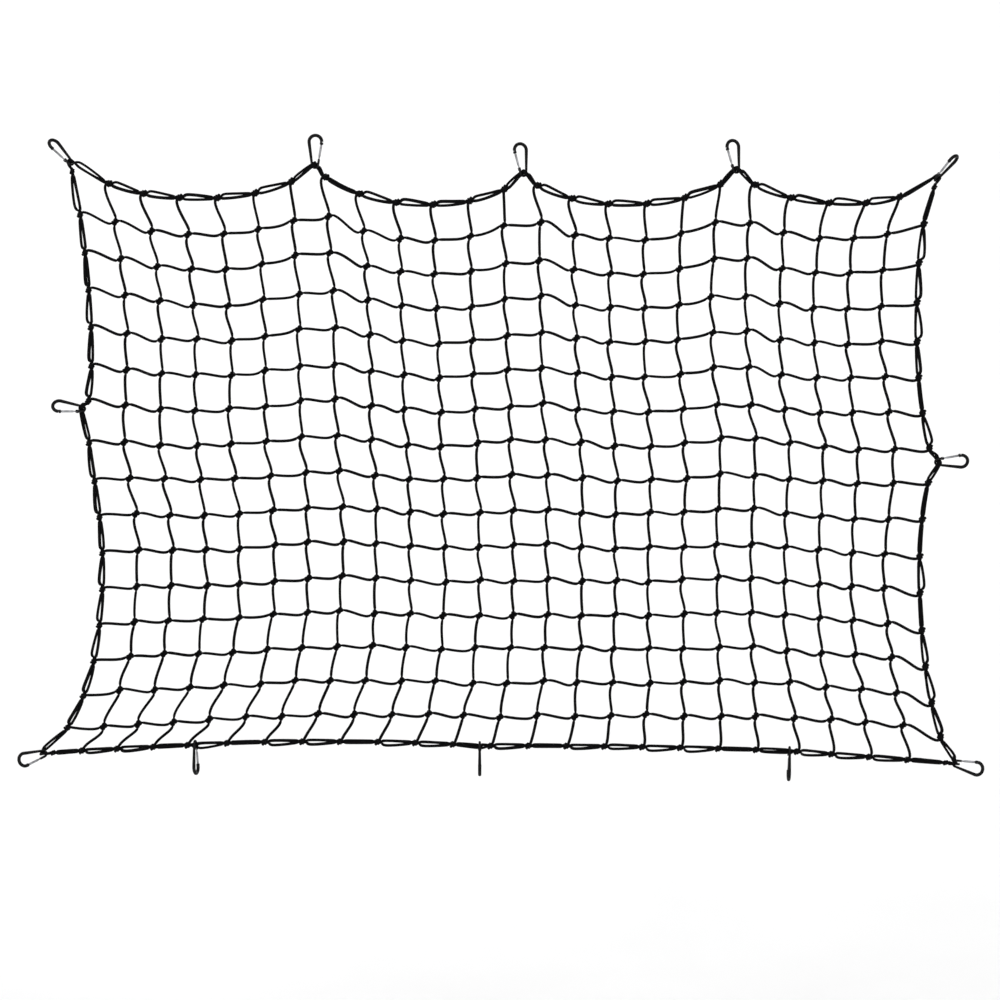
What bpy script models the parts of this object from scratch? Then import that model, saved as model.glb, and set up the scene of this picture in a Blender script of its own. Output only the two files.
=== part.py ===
"""Elastic cargo net, hung by its snap hooks.

A knotted net of elastic cord, 24 by 16 meshes of 3 in, whose edge is doubled by a perimeter cord
that runs through twelve snap hooks: four at the corners, three more along the top, one at the
middle of each side and three that hang free from the bottom edge.

Units are metres and +Z is up. The net hangs in the XZ plane and is seen from -Y. The origin is the
place in the wide end of the top middle snap hook where the bar that carries it bears.
The net is cut at twice its mesh, so each strand here is every second strand of the real one.
"""

import math

import bmesh
import bpy
import numpy as np
from mathutils import Matrix, Vector

# ---- Net, in metres ---------------------------------------------------------------------------
COLUMNS = 24                     # meshes across
ROWS = 16                        # meshes down
SOLID_STEP = 2                   # the solid has every second strand
CORD_DIAMETER = 0.0045
STRAND_ACROSS = 0.0054           # corner to corner of a four-sided strand of the same area
CLEARANCE = 0.0003
STRAND_DROOP = 0.0045            # how far a strand hangs down between two knots
LAST_ROW_PULL = 0.45             # extra pull on the bottom row of meshes, at its left end
SIDE_STIFFNESS = (0.015, 0.020)  # a strand's stiffness across its length, in x and z
KNOT_LOAD = (0.00008, -0.00030)  # how far a knot's own weight pulls it, in x and z
KNOT_SCATTER = 0.0028            # how far the knots lie off an even net
BOW_POWER = 2.4                  # shape of the bows of the edge between two hooks
BOW_STEPS = 60
RELIEF = 0.010                   # how far the net stands out of its plane
SEED = 7

# ---- Perimeter cord ---------------------------------------------------------------------------
BORDER_OFFSET = 0.0057           # from the net's edge strand, at a knot
BORDER_BULGE = 0.0012            # further out between two knots, at least
BORDER_SCATTER = 0.0042
THROUGH_HALF = 0.0042            # straight run through a hook's eye, to each side of its middle
BESIDE_BAR = 0.0066              # where the cord turns outside the hook's bar
TURN_RUN = 0.0030
PAST_BAR = 0.0125
PAST_OUTWARD = 0.0060
KEEP_AWAY = 0.0160               # points of the cord this close to a hook give way to its turn

# ---- Snap hook --------------------------------------------------------------------------------
BAR_RADIUS = 0.0026
BAR_BEVEL = 2                    # eight sides
NARROW_RADIUS = 0.0064           # bend at the narrow end, to the middle of the bar
WIDE_RADIUS = 0.0134             # bend at the wide end
HOOK_LENGTH = 0.0740             # over all
HINGE_RUN = 0.0113               # from the narrow bend along the gate's side to the pivot
GATE_LENGTH = 0.0325
GATE_RADIUS = 0.0015
KNUCKLE_RADIUS = 0.0023
KNUCKLE_HALF = 0.0016            # half its thickness
BORE_RADIUS = 0.0011
PIN_RADIUS = 0.0008
EAR_THICKNESS = 0.0012
EAR_HALF_WIDTH = 0.0023
EAR_ROOT = 0.0015                # how far the ears reach down the bar
NOSE_SWELL = 1.22
NOSE_RUN = 0.0050
WIDE_STEPS = 9
NARROW_STEPS = 7
SEAT = BAR_RADIUS + STRAND_ACROSS / 2 + CLEARANCE     # strand to the middle of the bar it bears on
# How far inside a hook's place the net's own edge strand passes it.
BEND = 2 * SEAT + 0.0008         # just inside the hook's narrow bend
CORNER = 2 * SEAT + 0.0052       # the same with room for the strand's corner
EYE = -0.0005                    # through the hook's eye, and out by what the strand cuts off there

# Where each snap hook takes the cord, x and z; the way its wide end points, in degrees from +X;
# its turn about its own length; its lean towards the front; and where the edge strand passes it.
HOOKS = {
    "top_left": dict(x=-0.9523, z=-0.0371, aim=132.4, turn=52, lean=0, strand=CORNER),
    "top_2": dict(x=-0.4340, z=-0.0428, aim=89.0, turn=180, lean=0, strand=BEND),
    "top_middle": dict(x=0.0079, z=-0.0601, aim=97.5, turn=20, lean=0, strand=BEND),
    "top_4": dict(x=0.4592, z=-0.0530, aim=98.5, turn=20, lean=0, strand=BEND),
    "top_right": dict(x=0.8842, z=-0.0710, aim=49.0, turn=66, lean=14, strand=CORNER),
    "side_right": dict(x=0.8864, z=-0.6720, aim=2.0, turn=20, lean=0, strand=BEND),
    "bottom_right": dict(x=0.9239, z=-1.3112, aim=-12.0, turn=0, lean=32, strand=CORNER),
    "bottom_3": dict(x=0.5720, z=-1.2822, aim=-91.8, turn=-90, lean=0, strand=EYE),
    "bottom_2": dict(x=-0.0848, z=-1.2716, aim=-90.0, turn=-90, lean=0, strand=EYE),
    "bottom_1": dict(x=-0.6880, z=-1.2690, aim=-88.0, turn=-76, lean=0, strand=EYE),
    "bottom_left": dict(x=-1.0085, z=-1.2900, aim=196.0, turn=0, lean=40, strand=CORNER),
    "side_left": dict(x=-0.9271, z=-0.5595, aim=173.1, turn=32, lean=0, strand=BEND),
}
# The hooks that each side of the net hangs between; how deep it bows inwards in each span; how far
# on the deepest place lies, 1 for the middle and more towards the span's end; and how far its knots
# have slid along it, in metres, at shares of its length.
SIDES = {
    "top": dict(hooks=("top_left", "top_2", "top_middle", "top_4", "top_right"),
                bows=(0.0625, 0.0640, 0.0590, 0.0510), skews=(1, 1, 1, 1), inward=(0, 0, -1),
                slid={0.0: 0.0, 0.125: -0.0070, 0.375: 0.0025, 0.625: -0.0025, 0.9: 0.0145,
                      1.0: 0.0}),
    "right": dict(hooks=("top_right", "side_right", "bottom_right"),
                  bows=(0.0340, 0.0430), skews=(1, 1), inward=(-1, 0, 0),
                  slid={0.0: 0.0, 0.07: 0.0100, 0.25: 0.0280, 0.5: 0.0205, 0.75: 0.0250,
                        0.93: 0.0260, 1.0: 0.0}),
    "bottom": dict(hooks=("bottom_left", "bottom_1", "bottom_2", "bottom_3", "bottom_right"),
                   bows=(0.0, 0.0080, 0.0035, 0.0), skews=(1, 1, 1, 1), inward=(0, 0, 1),
                   slid={0.0: 0.0, 0.05: -0.0175, 0.17: -0.0240, 0.5: -0.0195, 0.75: -0.0125,
                         0.95: -0.0080, 1.0: 0.0}),
    "left": dict(hooks=("top_left", "side_left", "bottom_left"),
                 bows=(0.0170, 0.0750), skews=(1.5, 1.45), inward=(1, 0, 0),
                 slid={0.0: 0.0, 0.07: 0.0220, 0.25: 0.0225, 0.5: 0.0340, 0.75: 0.0250,
                       0.93: 0.0200, 1.0: 0.0}),
}
# The way round the net that the perimeter cord takes: side, and whether it runs it backwards.
WAY_ROUND = (("top", False), ("right", False), ("bottom", True), ("left", True))


# ---- Scene and mesh helpers -------------------------------------------------------------------
def clear_scene():
    """Remove every object of the file that the script runs in."""
    for item in list(bpy.data.objects):
        bpy.data.objects.remove(item, do_unlink=True)


def make_collection(name):
    """Return a new collection, linked to the scene."""
    collection = bpy.data.collections.new(name)
    bpy.context.scene.collection.children.link(collection)
    return collection


def make_material(name, colour, roughness, metallic):
    """Return a Principled material."""
    material = bpy.data.materials.new(name)
    material.use_nodes = True
    shader = material.node_tree.nodes["Principled BSDF"]
    shader.inputs["Base Color"].default_value = (*colour, 1.0)
    shader.inputs["Roughness"].default_value = roughness
    shader.inputs["Metallic"].default_value = metallic
    return material


def add_object(name, mesh, material, collection, matrix=None, parent=None):
    """Put a mesh in the scene as a named, smooth shaded object."""
    item = bpy.data.objects.new(name, mesh)
    collection.objects.link(item)
    if not mesh.materials:
        mesh.materials.append(material)
    mesh.shade_smooth()
    mesh.set_sharp_from_angle(angle=math.radians(40))
    if parent:
        item.parent = parent
    if matrix:
        item.matrix_basis = matrix
    return item


def evaluated_mesh(item):
    """Return what an object's modifiers or curve settings make, as a mesh, and drop the object."""
    bpy.context.view_layer.update()
    graph = bpy.context.evaluated_depsgraph_get()
    mesh = bpy.data.meshes.new_from_object(item.evaluated_get(graph))
    bpy.data.objects.remove(item, do_unlink=True)
    cage = bmesh.new()
    cage.from_mesh(mesh)
    bmesh.ops.remove_doubles(cage, verts=cage.verts, dist=1e-6)
    cage.to_mesh(mesh)
    cage.free()
    return mesh


def tube_curve(name, points, radius, bevel, swell=None, closed=False):
    """Return a round tube along points as a curve object; swell scales the radius at each one."""
    curve = bpy.data.curves.new(name, "CURVE")
    curve.dimensions = "3D"
    curve.bevel_depth = radius
    curve.bevel_resolution = bevel
    curve.use_fill_caps = not closed
    spline = curve.splines.new("POLY")
    spline.points.add(len(points) - 1)
    for place, point in zip(spline.points, points):
        place.co = (*point, 1.0)
    for place, factor in zip(spline.points, swell or ()):
        place.radius = factor
    spline.use_cyclic_u = closed
    item = bpy.data.objects.new(name, curve)
    bpy.context.scene.collection.objects.link(item)
    return item


def joined(mesh, other, operation):
    """Return the union or difference of two meshes."""
    base = bpy.data.objects.new("base", mesh)
    tool = bpy.data.objects.new("tool", other)
    for item in (base, tool):
        bpy.context.scene.collection.objects.link(item)
    boolean = base.modifiers.new("join", "BOOLEAN")
    boolean.operation = operation
    boolean.object = tool
    result = evaluated_mesh(base)
    bpy.data.objects.remove(tool, do_unlink=True)
    return result


def box_mesh(size, matrix):
    """Return a box of the given edge lengths."""
    cage = bmesh.new()
    bmesh.ops.create_cube(cage, size=1.0, matrix=matrix @ Matrix.Diagonal((*size, 1.0)))
    mesh = bpy.data.meshes.new("box")
    cage.to_mesh(mesh)
    cage.free()
    return mesh


def cylinder_mesh(radius, length, sides, matrix):
    """Return a cylinder along its matrix's Z axis."""
    cage = bmesh.new()
    bmesh.ops.create_cone(cage, cap_ends=True, segments=sides, radius1=radius, radius2=radius,
                          depth=length, matrix=matrix)
    mesh = bpy.data.meshes.new("cylinder")
    cage.to_mesh(mesh)
    cage.free()
    return mesh


# ---- Snap hook: X runs from its narrow end to its wide end, Y to its gate, Z through its eye ---
def pear():
    """Return the hook's driving places: the wide bend's centre and the lean of its sides."""
    centre = HOOK_LENGTH - 2 * BAR_RADIUS - NARROW_RADIUS - WIDE_RADIUS
    lean = math.asin((WIDE_RADIUS - NARROW_RADIUS) / centre)
    return centre, lean


def gate_line():
    """Return the pivot and the direction of the gate's side of the pear."""
    _, lean = pear()
    start = Vector((-math.sin(lean), math.cos(lean), 0)) * NARROW_RADIUS
    along = Vector((math.cos(lean), math.sin(lean), 0))
    return start + along * HINGE_RUN, along


def bar_path():
    """Return the middle of the bar, from the nose round the wide end and the spine to the lug."""
    centre, lean = pear()
    pivot, along = gate_line()
    side = math.pi / 2 + lean
    nose = pivot + along * (GATE_LENGTH + CLEARANCE)
    points = [nose, nose + along * NOSE_RUN]
    for step in range(WIDE_STEPS + 1):
        angle = side * (1 - 2 * step / WIDE_STEPS)
        points.append(Vector((centre + WIDE_RADIUS * math.cos(angle),
                              WIDE_RADIUS * math.sin(angle), 0)))
    for step in range(NARROW_STEPS + 1):
        angle = -side - (2 * math.pi - 2 * side) * step / NARROW_STEPS
        points.append(NARROW_RADIUS * Vector((math.cos(angle), math.sin(angle), 0)))
    points.append(pivot - along * (KNUCKLE_RADIUS + CLEARANCE))
    swell = [NOSE_SWELL, NOSE_SWELL] + [1.0] * (len(points) - 2)
    return points, swell


def pivot_matrix():
    """Return the frame of the gate's pivot: X along the gate, Z along the pin."""
    pivot, along = gate_line()
    across = Vector((0, 0, 1)).cross(along)
    frame = Matrix((along, across, Vector((0, 0, 1)))).transposed().to_4x4()
    return Matrix.Translation(pivot) @ frame


def hook_mesh():
    """Return the hook's body: the bent bar with its nose, two ears and the gate's pin."""
    points, swell = bar_path()
    body = evaluated_mesh(tube_curve("bar", points, BAR_RADIUS, BAR_BEVEL, swell))
    frame = pivot_matrix()
    reach = KNUCKLE_RADIUS + CLEARANCE + EAR_ROOT
    length = reach + EAR_HALF_WIDTH
    middle = EAR_HALF_WIDTH - length / 2
    height = KNUCKLE_HALF + CLEARANCE + EAR_THICKNESS / 2
    for side in (-1, 1):
        place = frame @ Matrix.Translation((middle, 0, side * height))
        ear = box_mesh((length, 2 * EAR_HALF_WIDTH, EAR_THICKNESS), place)
        body = joined(body, ear, "UNION")
    pin = cylinder_mesh(PIN_RADIUS, 2 * height + 0.9 * EAR_THICKNESS, 8, frame)
    return joined(body, pin, "UNION")


def gate_mesh():
    """Return the gate about its pivot: a bored knuckle and a round arm along X."""
    start = Vector((BORE_RADIUS + CLEARANCE, 0, 0))
    end = Vector((GATE_LENGTH, 0, 0))
    arm = evaluated_mesh(tube_curve("arm", [start, end], GATE_RADIUS, 2))
    knuckle = cylinder_mesh(KNUCKLE_RADIUS, 2 * KNUCKLE_HALF, 12, Matrix())
    bore = cylinder_mesh(BORE_RADIUS, 4 * KNUCKLE_HALF, 8, Matrix())
    return joined(joined(arm, knuckle, "UNION"), bore, "DIFFERENCE")


def hook_axes(hook):
    """Return a hook's own axes in the world: along its length, towards its gate, through its eye."""
    aim, turn, lean = (math.radians(hook[key]) for key in ("aim", "turn", "lean"))
    flat = Vector((math.cos(aim), 0, math.sin(aim)))
    along = flat * math.cos(lean) + Vector((0, -1, 0)) * math.sin(lean)
    side = Vector((-math.sin(aim), 0, math.cos(aim)))
    normal = along.cross(side)
    gate = side * math.cos(turn) + normal * math.sin(turn)
    return along, gate, along.cross(gate)


def seat(hook):
    """Return the place in a hook's eye where the cord lies."""
    return Vector((hook["x"], 0, hook["z"]))


def hook_matrix(hook):
    """Return the world matrix of a hook, whose origin is the centre of its narrow bend."""
    along, gate, through = hook_axes(hook)
    frame = Matrix((along, gate, through)).transposed().to_4x4()
    return Matrix.Translation(seat(hook) + along * (NARROW_RADIUS - SEAT)) @ frame


# ---- Net --------------------------------------------------------------------------------------
def edge_pass(hook):
    """Return where the net's edge strand passes a hook."""
    aim = math.radians(hook["aim"])
    outward = Vector((math.cos(aim), 0, math.sin(aim)))
    return seat(hook) - outward * hook["strand"]


def side_curve(side):
    """Return the run of a side's edge strand, bowed between its hooks."""
    stops = [edge_pass(HOOKS[name]) for name in side["hooks"]]
    inward = Vector(side["inward"])
    curve = []
    for start, end, bow, skew in zip(stops, stops[1:], side["bows"], side["skews"]):
        for step in range(BOW_STEPS):
            share = step / BOW_STEPS
            depth = bow * (1 - abs(2 * share ** skew - 1) ** BOW_POWER)
            curve.append(start.lerp(end, share) + inward * depth)
    return curve + [stops[-1]]


def slid_points(curve, count, slid):
    """Return count + 1 points at equal lengths along a curve, each slid along it from there."""
    lengths = np.cumsum([0.0] + [(b - a).length for a, b in zip(curve, curve[1:])])
    shares = np.linspace(0, 1, count + 1)
    wanted = shares * lengths[-1] + np.interp(shares, list(slid), list(slid.values()))
    return [Vector([float(np.interp(length, lengths, [point[axis] for point in curve]))
                    for axis in range(3)]) for length in wanted]


def side_points(name):
    """Return a side's edge strand at every half mesh, with the middle of a mesh on each hook."""
    side = SIDES[name]
    count = 2 * (COLUMNS if name in ("top", "bottom") else ROWS)
    points = slid_points(side_curve(side), count, side["slid"])
    for hook_name in side["hooks"][1:-1]:
        place = edge_pass(HOOKS[hook_name])
        nearest = min(range(1, count, 2), key=lambda index: (points[index] - place).length)
        if HOOKS[hook_name]["strand"] != EYE:
            points[nearest] = place
    return points


def settle(edges):
    """Return the knots' x and z, [row][column], where the strands' pulls balance between the edges.

    Each strand is stiff along its length and soft across it, so a row spreads evenly between the
    sides and a column between the top and the bottom, and the edge's bows fade inwards.
    """
    shape = (ROWS + 1, COLUMNS + 1)
    knots = np.zeros((*shape, 2))
    for column in range(COLUMNS + 1):
        for row, name in ((0, "top"), (ROWS, "bottom")):
            point = edges[name][2 * column]
            knots[row, column] = point.x, point.z
    for row in range(ROWS + 1):
        for column, name in ((0, "left"), (COLUMNS, "right")):
            point = edges[name][2 * row]
            knots[row, column] = point.x, point.z
    inner = [(row, column) for row in range(1, ROWS) for column in range(1, COLUMNS)]
    index = {place: number for number, place in enumerate(inner)}
    for axis in (0, 1):
        pulls = np.zeros((len(inner), len(inner)))
        loads = np.zeros(len(inner))
        for (row, column), number in index.items():
            last = 1 + max(0.0, LAST_ROW_PULL * (1 - column / 20)) if row == ROWS - 1 else 1.0
            soft = SIDE_STIFFNESS[axis]
            across, down = (1.0, soft) if axis == 0 else (soft, 1.0)
            loads[number] += KNOT_LOAD[axis]
            for place, pull in (((row, column - 1), across), ((row, column + 1), across),
                                ((row - 1, column), down), ((row + 1, column), down * last)):
                pulls[number, number] += pull
                if place in index:
                    pulls[number, index[place]] -= pull
                else:
                    loads[number] += pull * knots[place][axis]
        solved = np.linalg.solve(pulls, loads)
        for (row, column), number in index.items():
            knots[row, column, axis] = solved[number]
    scatter = np.random.default_rng(SEED).uniform(-KNOT_SCATTER, KNOT_SCATTER, (*shape, 2))
    knots[1:-1, 1:-1] += scatter[1:-1, 1:-1]
    return knots


def relief(column, row):
    """Return how far the net stands behind its plane at a place."""
    across, down = column / COLUMNS, row / ROWS
    fade = math.sin(math.pi * across) * math.sin(math.pi * down)
    return RELIEF * fade * math.sin(5.1 * across + 2.3 * down + 0.4)


def net_point(column, row, knots, edges):
    """Return a place on the net's strands; column and row step by a half."""
    for name, at_edge, place in (("top", row == 0, column), ("bottom", row == ROWS, column),
                                 ("left", column == 0, row), ("right", column == COLUMNS, row)):
        if at_edge:
            return edges[name][round(2 * place)]
    low, high = int(column), min(COLUMNS, math.ceil(column))
    up, down = int(row), min(ROWS, math.ceil(row))
    x, z = (knots[up, low] + knots[up, high] + knots[down, low] + knots[down, high]) / 4
    droop = STRAND_DROOP if low != high else 0.0
    return Vector((x, relief(column, row), z - droop))


def net_mesh(knots, edges):
    """Return the net's cage: one flat face a mesh, with the strands as the faces' edges."""
    cage = bmesh.new()
    bmesh.ops.create_grid(cage, x_segments=2 * COLUMNS, y_segments=2 * ROWS, size=1.0)
    spot = {}
    for vert in cage.verts:
        column = round((vert.co.x + 1) * COLUMNS) / 2
        row = round((1 - vert.co.y) * ROWS) / 2
        spot[vert] = column, row
    meshes = {}
    for face in cage.faces:
        column = min(spot[vert][0] for vert in face.verts)
        row = min(spot[vert][1] for vert in face.verts)
        meshes.setdefault((column // SOLID_STEP, row // SOLID_STEP), []).append(face)
    for vert, (column, row) in spot.items():
        vert.co = net_point(column, row, knots, edges)
    for faces in meshes.values():
        bmesh.ops.dissolve_faces(cage, faces=faces, use_verts=False)
    spare = [vert for vert, (column, row) in spot.items()
             if vert.is_valid and row % SOLID_STEP and column not in (0, COLUMNS)]
    bmesh.ops.dissolve_verts(cage, verts=spare)
    mesh = bpy.data.meshes.new("net")
    cage.to_mesh(mesh)
    cage.free()
    return mesh


def make_net(knots, edges, material, collection):
    """Make the net: its strands and its edge strand, fused at every crossing."""
    net = add_object("net", net_mesh(knots, edges), material, collection)
    strands = net.modifiers.new("strands", "WIREFRAME")
    strands.thickness = STRAND_ACROSS
    strands.offset = 0.0
    strands.use_even_offset = True
    strands.use_relative_offset = False
    strands.use_boundary = True
    strands.use_replace = True
    return net


# ---- Perimeter cord ---------------------------------------------------------------------------
def through_hook(hook, arriving, leaving):
    """Return the cord's turn through a hook: past one side of its bar, the eye and the other."""
    _, _, normal = hook_axes(hook)
    if normal.dot(arriving + leaving) + 0.5 * normal.y < 0:
        normal = -normal
    turn = []
    for way, sign in ((arriving, -1), (leaving, 1)):
        aside = (way - normal * way.dot(normal)) * sign
        outward = way.cross(Vector((0, 1, 0)))
        beside = seat(hook) + normal * sign * BESIDE_BAR
        turn.append([beside + aside * PAST_BAR + outward * PAST_OUTWARD,
                     beside + aside * TURN_RUN,
                     seat(hook) + normal * sign * THROUGH_HALF])
    return turn[0] + turn[1][::-1]


def border_path(edges):
    """Return the perimeter cord's run, clockwise as seen from the front."""
    scatter = np.random.default_rng(SEED + 1)
    loop = []
    for name, backwards in WAY_ROUND:
        points = edges[name][::-1] if backwards else edges[name]
        loop += [(point, name, index) for index, point in enumerate(points[:-1])]
    taken = {name: edge_pass(hook) for name, hook in HOOKS.items() if hook["strand"] != EYE}
    path = []
    for number, (point, side, index) in enumerate(loop):
        before, after = loop[number - 1][0], loop[(number + 1) % len(loop)][0]
        hook = next((name for name, place in taken.items() if (point - place).length < 1e-6), None)
        if hook:
            path += through_hook(HOOKS[hook], (point - before).normalized(),
                                 (after - point).normalized())
            continue
        if min((point - seat(HOOKS[name])).length for name in taken) < KEEP_AWAY:
            continue
        along = (after - before).normalized()
        outward = along.cross(Vector((0, 1, 0)))
        bulge = BORDER_BULGE + BORDER_SCATTER * scatter.random() if index % 2 else 0.0
        path.append(point + outward * (BORDER_OFFSET + bulge))
    return path


def make_border(edges, material, collection):
    """Make the perimeter cord, one closed loop."""
    cord = tube_curve("border_cord", border_path(edges), CORD_DIAMETER / 2, 1, closed=True)
    mesh = evaluated_mesh(cord)
    return add_object("border_cord", mesh, material, collection)


# ---- The whole net ----------------------------------------------------------------------------
def main():
    """Build the net, its perimeter cord and its twelve snap hooks."""
    clear_scene()
    collection = make_collection("cargo_net")
    black_cord = make_material("cord", (0.012, 0.012, 0.013), 0.8, 0.0)
    black_metal = make_material("hook", (0.015, 0.015, 0.016), 0.35, 0.6)
    bare_metal = make_material("gate", (0.72, 0.73, 0.74), 0.3, 1.0)

    edges = {name: side_points(name) for name in SIDES}
    knots = settle(edges)
    make_net(knots, edges, black_cord, collection)
    make_border(edges, black_cord, collection)

    body, gate = hook_mesh(), gate_mesh()
    for name, hook in HOOKS.items():
        holder = add_object("hook_" + name, body, black_metal, collection, hook_matrix(hook))
        add_object("gate_" + name, gate, bare_metal, collection, pivot_matrix(), holder)


main()
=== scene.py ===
"""Looks of the elastic cargo net: every strand, knot and turn of its cords, and its snap hooks.

The net's strands are tied from thirty-eight cords that climb it in steps from its bottom and right
edges to its left and top edges. Two bights of cord lock together in each knot, and each end of a
cord is hitched round the bundle of three cords that edges the net.

Units are metres, +Z is up, and the net hangs in the XZ plane and is seen from -Y. The places are
the ones of the net's solids. The cords, the hooks' coated bars and the gates' arms are thicker than
in the solids.
"""
import logging
import math
from dataclasses import dataclass
from enum import Enum

import bmesh
import bpy
import numpy as np
from mathutils import Matrix, Vector


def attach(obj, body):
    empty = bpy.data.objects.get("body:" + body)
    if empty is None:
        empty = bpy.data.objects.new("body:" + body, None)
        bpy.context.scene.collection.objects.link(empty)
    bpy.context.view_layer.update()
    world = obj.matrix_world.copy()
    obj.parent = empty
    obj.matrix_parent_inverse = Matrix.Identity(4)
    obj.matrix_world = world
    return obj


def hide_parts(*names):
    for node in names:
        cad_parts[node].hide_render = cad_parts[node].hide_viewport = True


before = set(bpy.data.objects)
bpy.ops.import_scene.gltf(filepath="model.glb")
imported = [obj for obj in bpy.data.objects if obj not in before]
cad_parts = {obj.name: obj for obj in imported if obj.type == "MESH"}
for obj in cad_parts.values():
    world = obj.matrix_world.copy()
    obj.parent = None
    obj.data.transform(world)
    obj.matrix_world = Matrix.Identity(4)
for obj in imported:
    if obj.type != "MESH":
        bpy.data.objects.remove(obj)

LOG = logging.getLogger("cargo_net")
MERGE = 1e-7                              # vertices nearer than this are one
FRONT = Vector((0.0, -1.0, 0.0))          # the way the net faces
Colour = tuple[float, float, float]
Stop = tuple[float, float, float, float]  # x, y, z and radius
Tree = bpy.types.NodeTree
Node = bpy.types.Node
Socket = bpy.types.NodeSocket
Material = bpy.types.Material
Piece = bpy.types.Object
Cage = bmesh.types.BMesh


class Side(Enum):
    """A side of the net, by the name it has in the lattice."""

    TOP = "top"
    RIGHT = "right"
    BOTTOM = "bottom"
    LEFT = "left"


class Pass(Enum):
    """How the net's edge strand passes a snap hook."""

    BEND = "inside its narrow bend"
    CORNER = "inside it with room for a corner"
    EYE = "through its eye"


# ---- Sizes that more than one sub-assembly shares ----------------------------------------------
@dataclass(frozen=True)
class CordSizes:
    """Sizes of the elastic cord."""

    radius: float = 0.0032
    edge: float = 0.00305          # radius of the cords along the edge, which are stretched more
    taut: float = 0.00275          # radius beside a hook
    knotted: float = 0.0024        # radius where a knot squeezes it
    gripped: float = 0.0020        # radius inside a hitch
    solid_across: float = 0.0054   # the solid's strand, corner to corner
    clearance: float = 0.0003
    past_bend: float = 0.0008      # from the perimeter cord in a hook on to the edge strand
    past_corner: float = 0.0052
    in_eye: float = 0.0005         # the edge strand lies this much outward in a hanging hook


@dataclass(frozen=True)
class HookSizes:
    """Sizes of a snap hook: a pear of bent bar with a gate in one of its sides."""

    bar: float = 0.0026
    coated: float = 1.40           # the spine and the wide bend with their coat, against the bar
    narrow: float = 0.0064         # bend at the narrow end, to the middle of the bar
    wide: float = 0.0134           # bend at the wide end
    length: float = 0.0740         # over all
    hinge_run: float = 0.0113      # from the narrow bend along the gate's side to the pivot
    gate_length: float = 0.0325
    gate: float = 0.0015           # radius of the gate's arm at its knuckle
    gate_middle: float = 0.0024
    knuckle: float = 0.0023
    knuckle_half: float = 0.0016
    bore: float = 0.0011
    pin: float = 0.0008
    ear_thickness: float = 0.0012
    ear_half_width: float = 0.0023
    ear_root: float = 0.0015
    nose_swell: float = 1.44
    nose_run: float = 0.0050

    @property
    def seat(self) -> float:
        """Distance from a cord that bears on the bar to the middle of the bar."""
        return self.bar + CORD.solid_across / 2 + CORD.clearance


CORD = CordSizes()
HOOK = HookSizes()


@dataclass(frozen=True)
class HookPlace:
    """Where one snap hook takes the cord, and how it hangs."""

    name: str
    x: float
    z: float
    aim: float                     # the way its wide end points, in degrees from +X
    turn: float                    # about its own length
    lean: float                    # towards the front
    edge: Pass

    def axes(self) -> tuple[Vector, Vector, Vector]:
        """Return the hook's own axes: along its length, towards its gate, through its eye.

        Returns:
            Three unit vectors.
        """
        aim, turn, lean = (math.radians(angle) for angle in (self.aim, self.turn, self.lean))
        flat = Vector((math.cos(aim), 0, math.sin(aim)))
        along = flat * math.cos(lean) + FRONT * math.sin(lean)
        side = Vector((-math.sin(aim), 0, math.cos(aim)))
        normal = along.cross(side)
        gate = side * math.cos(turn) + normal * math.sin(turn)
        return along, gate, along.cross(gate)

    @property
    def seat(self) -> Vector:
        """Place in the eye where the first cord lies."""
        return Vector((self.x, 0, self.z))

    @property
    def outward(self) -> Vector:
        """Direction away from the net, in its plane."""
        aim = math.radians(self.aim)
        return Vector((math.cos(aim), 0, math.sin(aim)))

    @property
    def edge_pass(self) -> Vector:
        """Place where the solid's edge strand passes the hook.

        Returns:
            A point in the net's plane.
        """
        inside = {Pass.BEND: 2 * HOOK.seat + CORD.past_bend,
                  Pass.CORNER: 2 * HOOK.seat + CORD.past_corner, Pass.EYE: -CORD.in_eye}
        return self.seat - self.outward * inside[self.edge]

    def matrix(self) -> Matrix:
        """Return the world matrix of the hook, about the centre of its narrow bend.

        Returns:
            A matrix from the hook's own frame, X along it and Y towards its gate.
        """
        along, gate, through = self.axes()
        turned = Matrix((along, gate, through)).transposed().to_4x4()
        return Matrix.Translation(self.seat + along * (HOOK.narrow - HOOK.seat)) @ turned


HOOK_PLACES = {place.name: place for place in (
    HookPlace("top_left", -0.9523, -0.0371, 132.4, 52.0, 0.0, Pass.CORNER),
    HookPlace("top_2", -0.4340, -0.0428, 89.0, 180.0, 0.0, Pass.BEND),
    HookPlace("top_middle", 0.0079, -0.0601, 97.5, 20.0, 0.0, Pass.BEND),
    HookPlace("top_4", 0.4592, -0.0530, 98.5, 20.0, 0.0, Pass.BEND),
    HookPlace("top_right", 0.8842, -0.0710, 49.0, 66.0, 14.0, Pass.CORNER),
    HookPlace("side_right", 0.8864, -0.6720, 2.0, 20.0, 0.0, Pass.BEND),
    HookPlace("bottom_right", 0.9239, -1.3112, -12.0, 0.0, 32.0, Pass.CORNER),
    HookPlace("bottom_3", 0.5720, -1.2822, -91.8, -90.0, 0.0, Pass.EYE),
    HookPlace("bottom_2", -0.0848, -1.2716, -90.0, -90.0, 0.0, Pass.EYE),
    HookPlace("bottom_1", -0.6880, -1.2690, -88.0, -76.0, 0.0, Pass.EYE),
    HookPlace("bottom_left", -1.0085, -1.2900, 196.0, 0.0, 40.0, Pass.CORNER),
    HookPlace("side_left", -0.9271, -0.5595, 173.1, 32.0, 0.0, Pass.BEND),
)}


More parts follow.
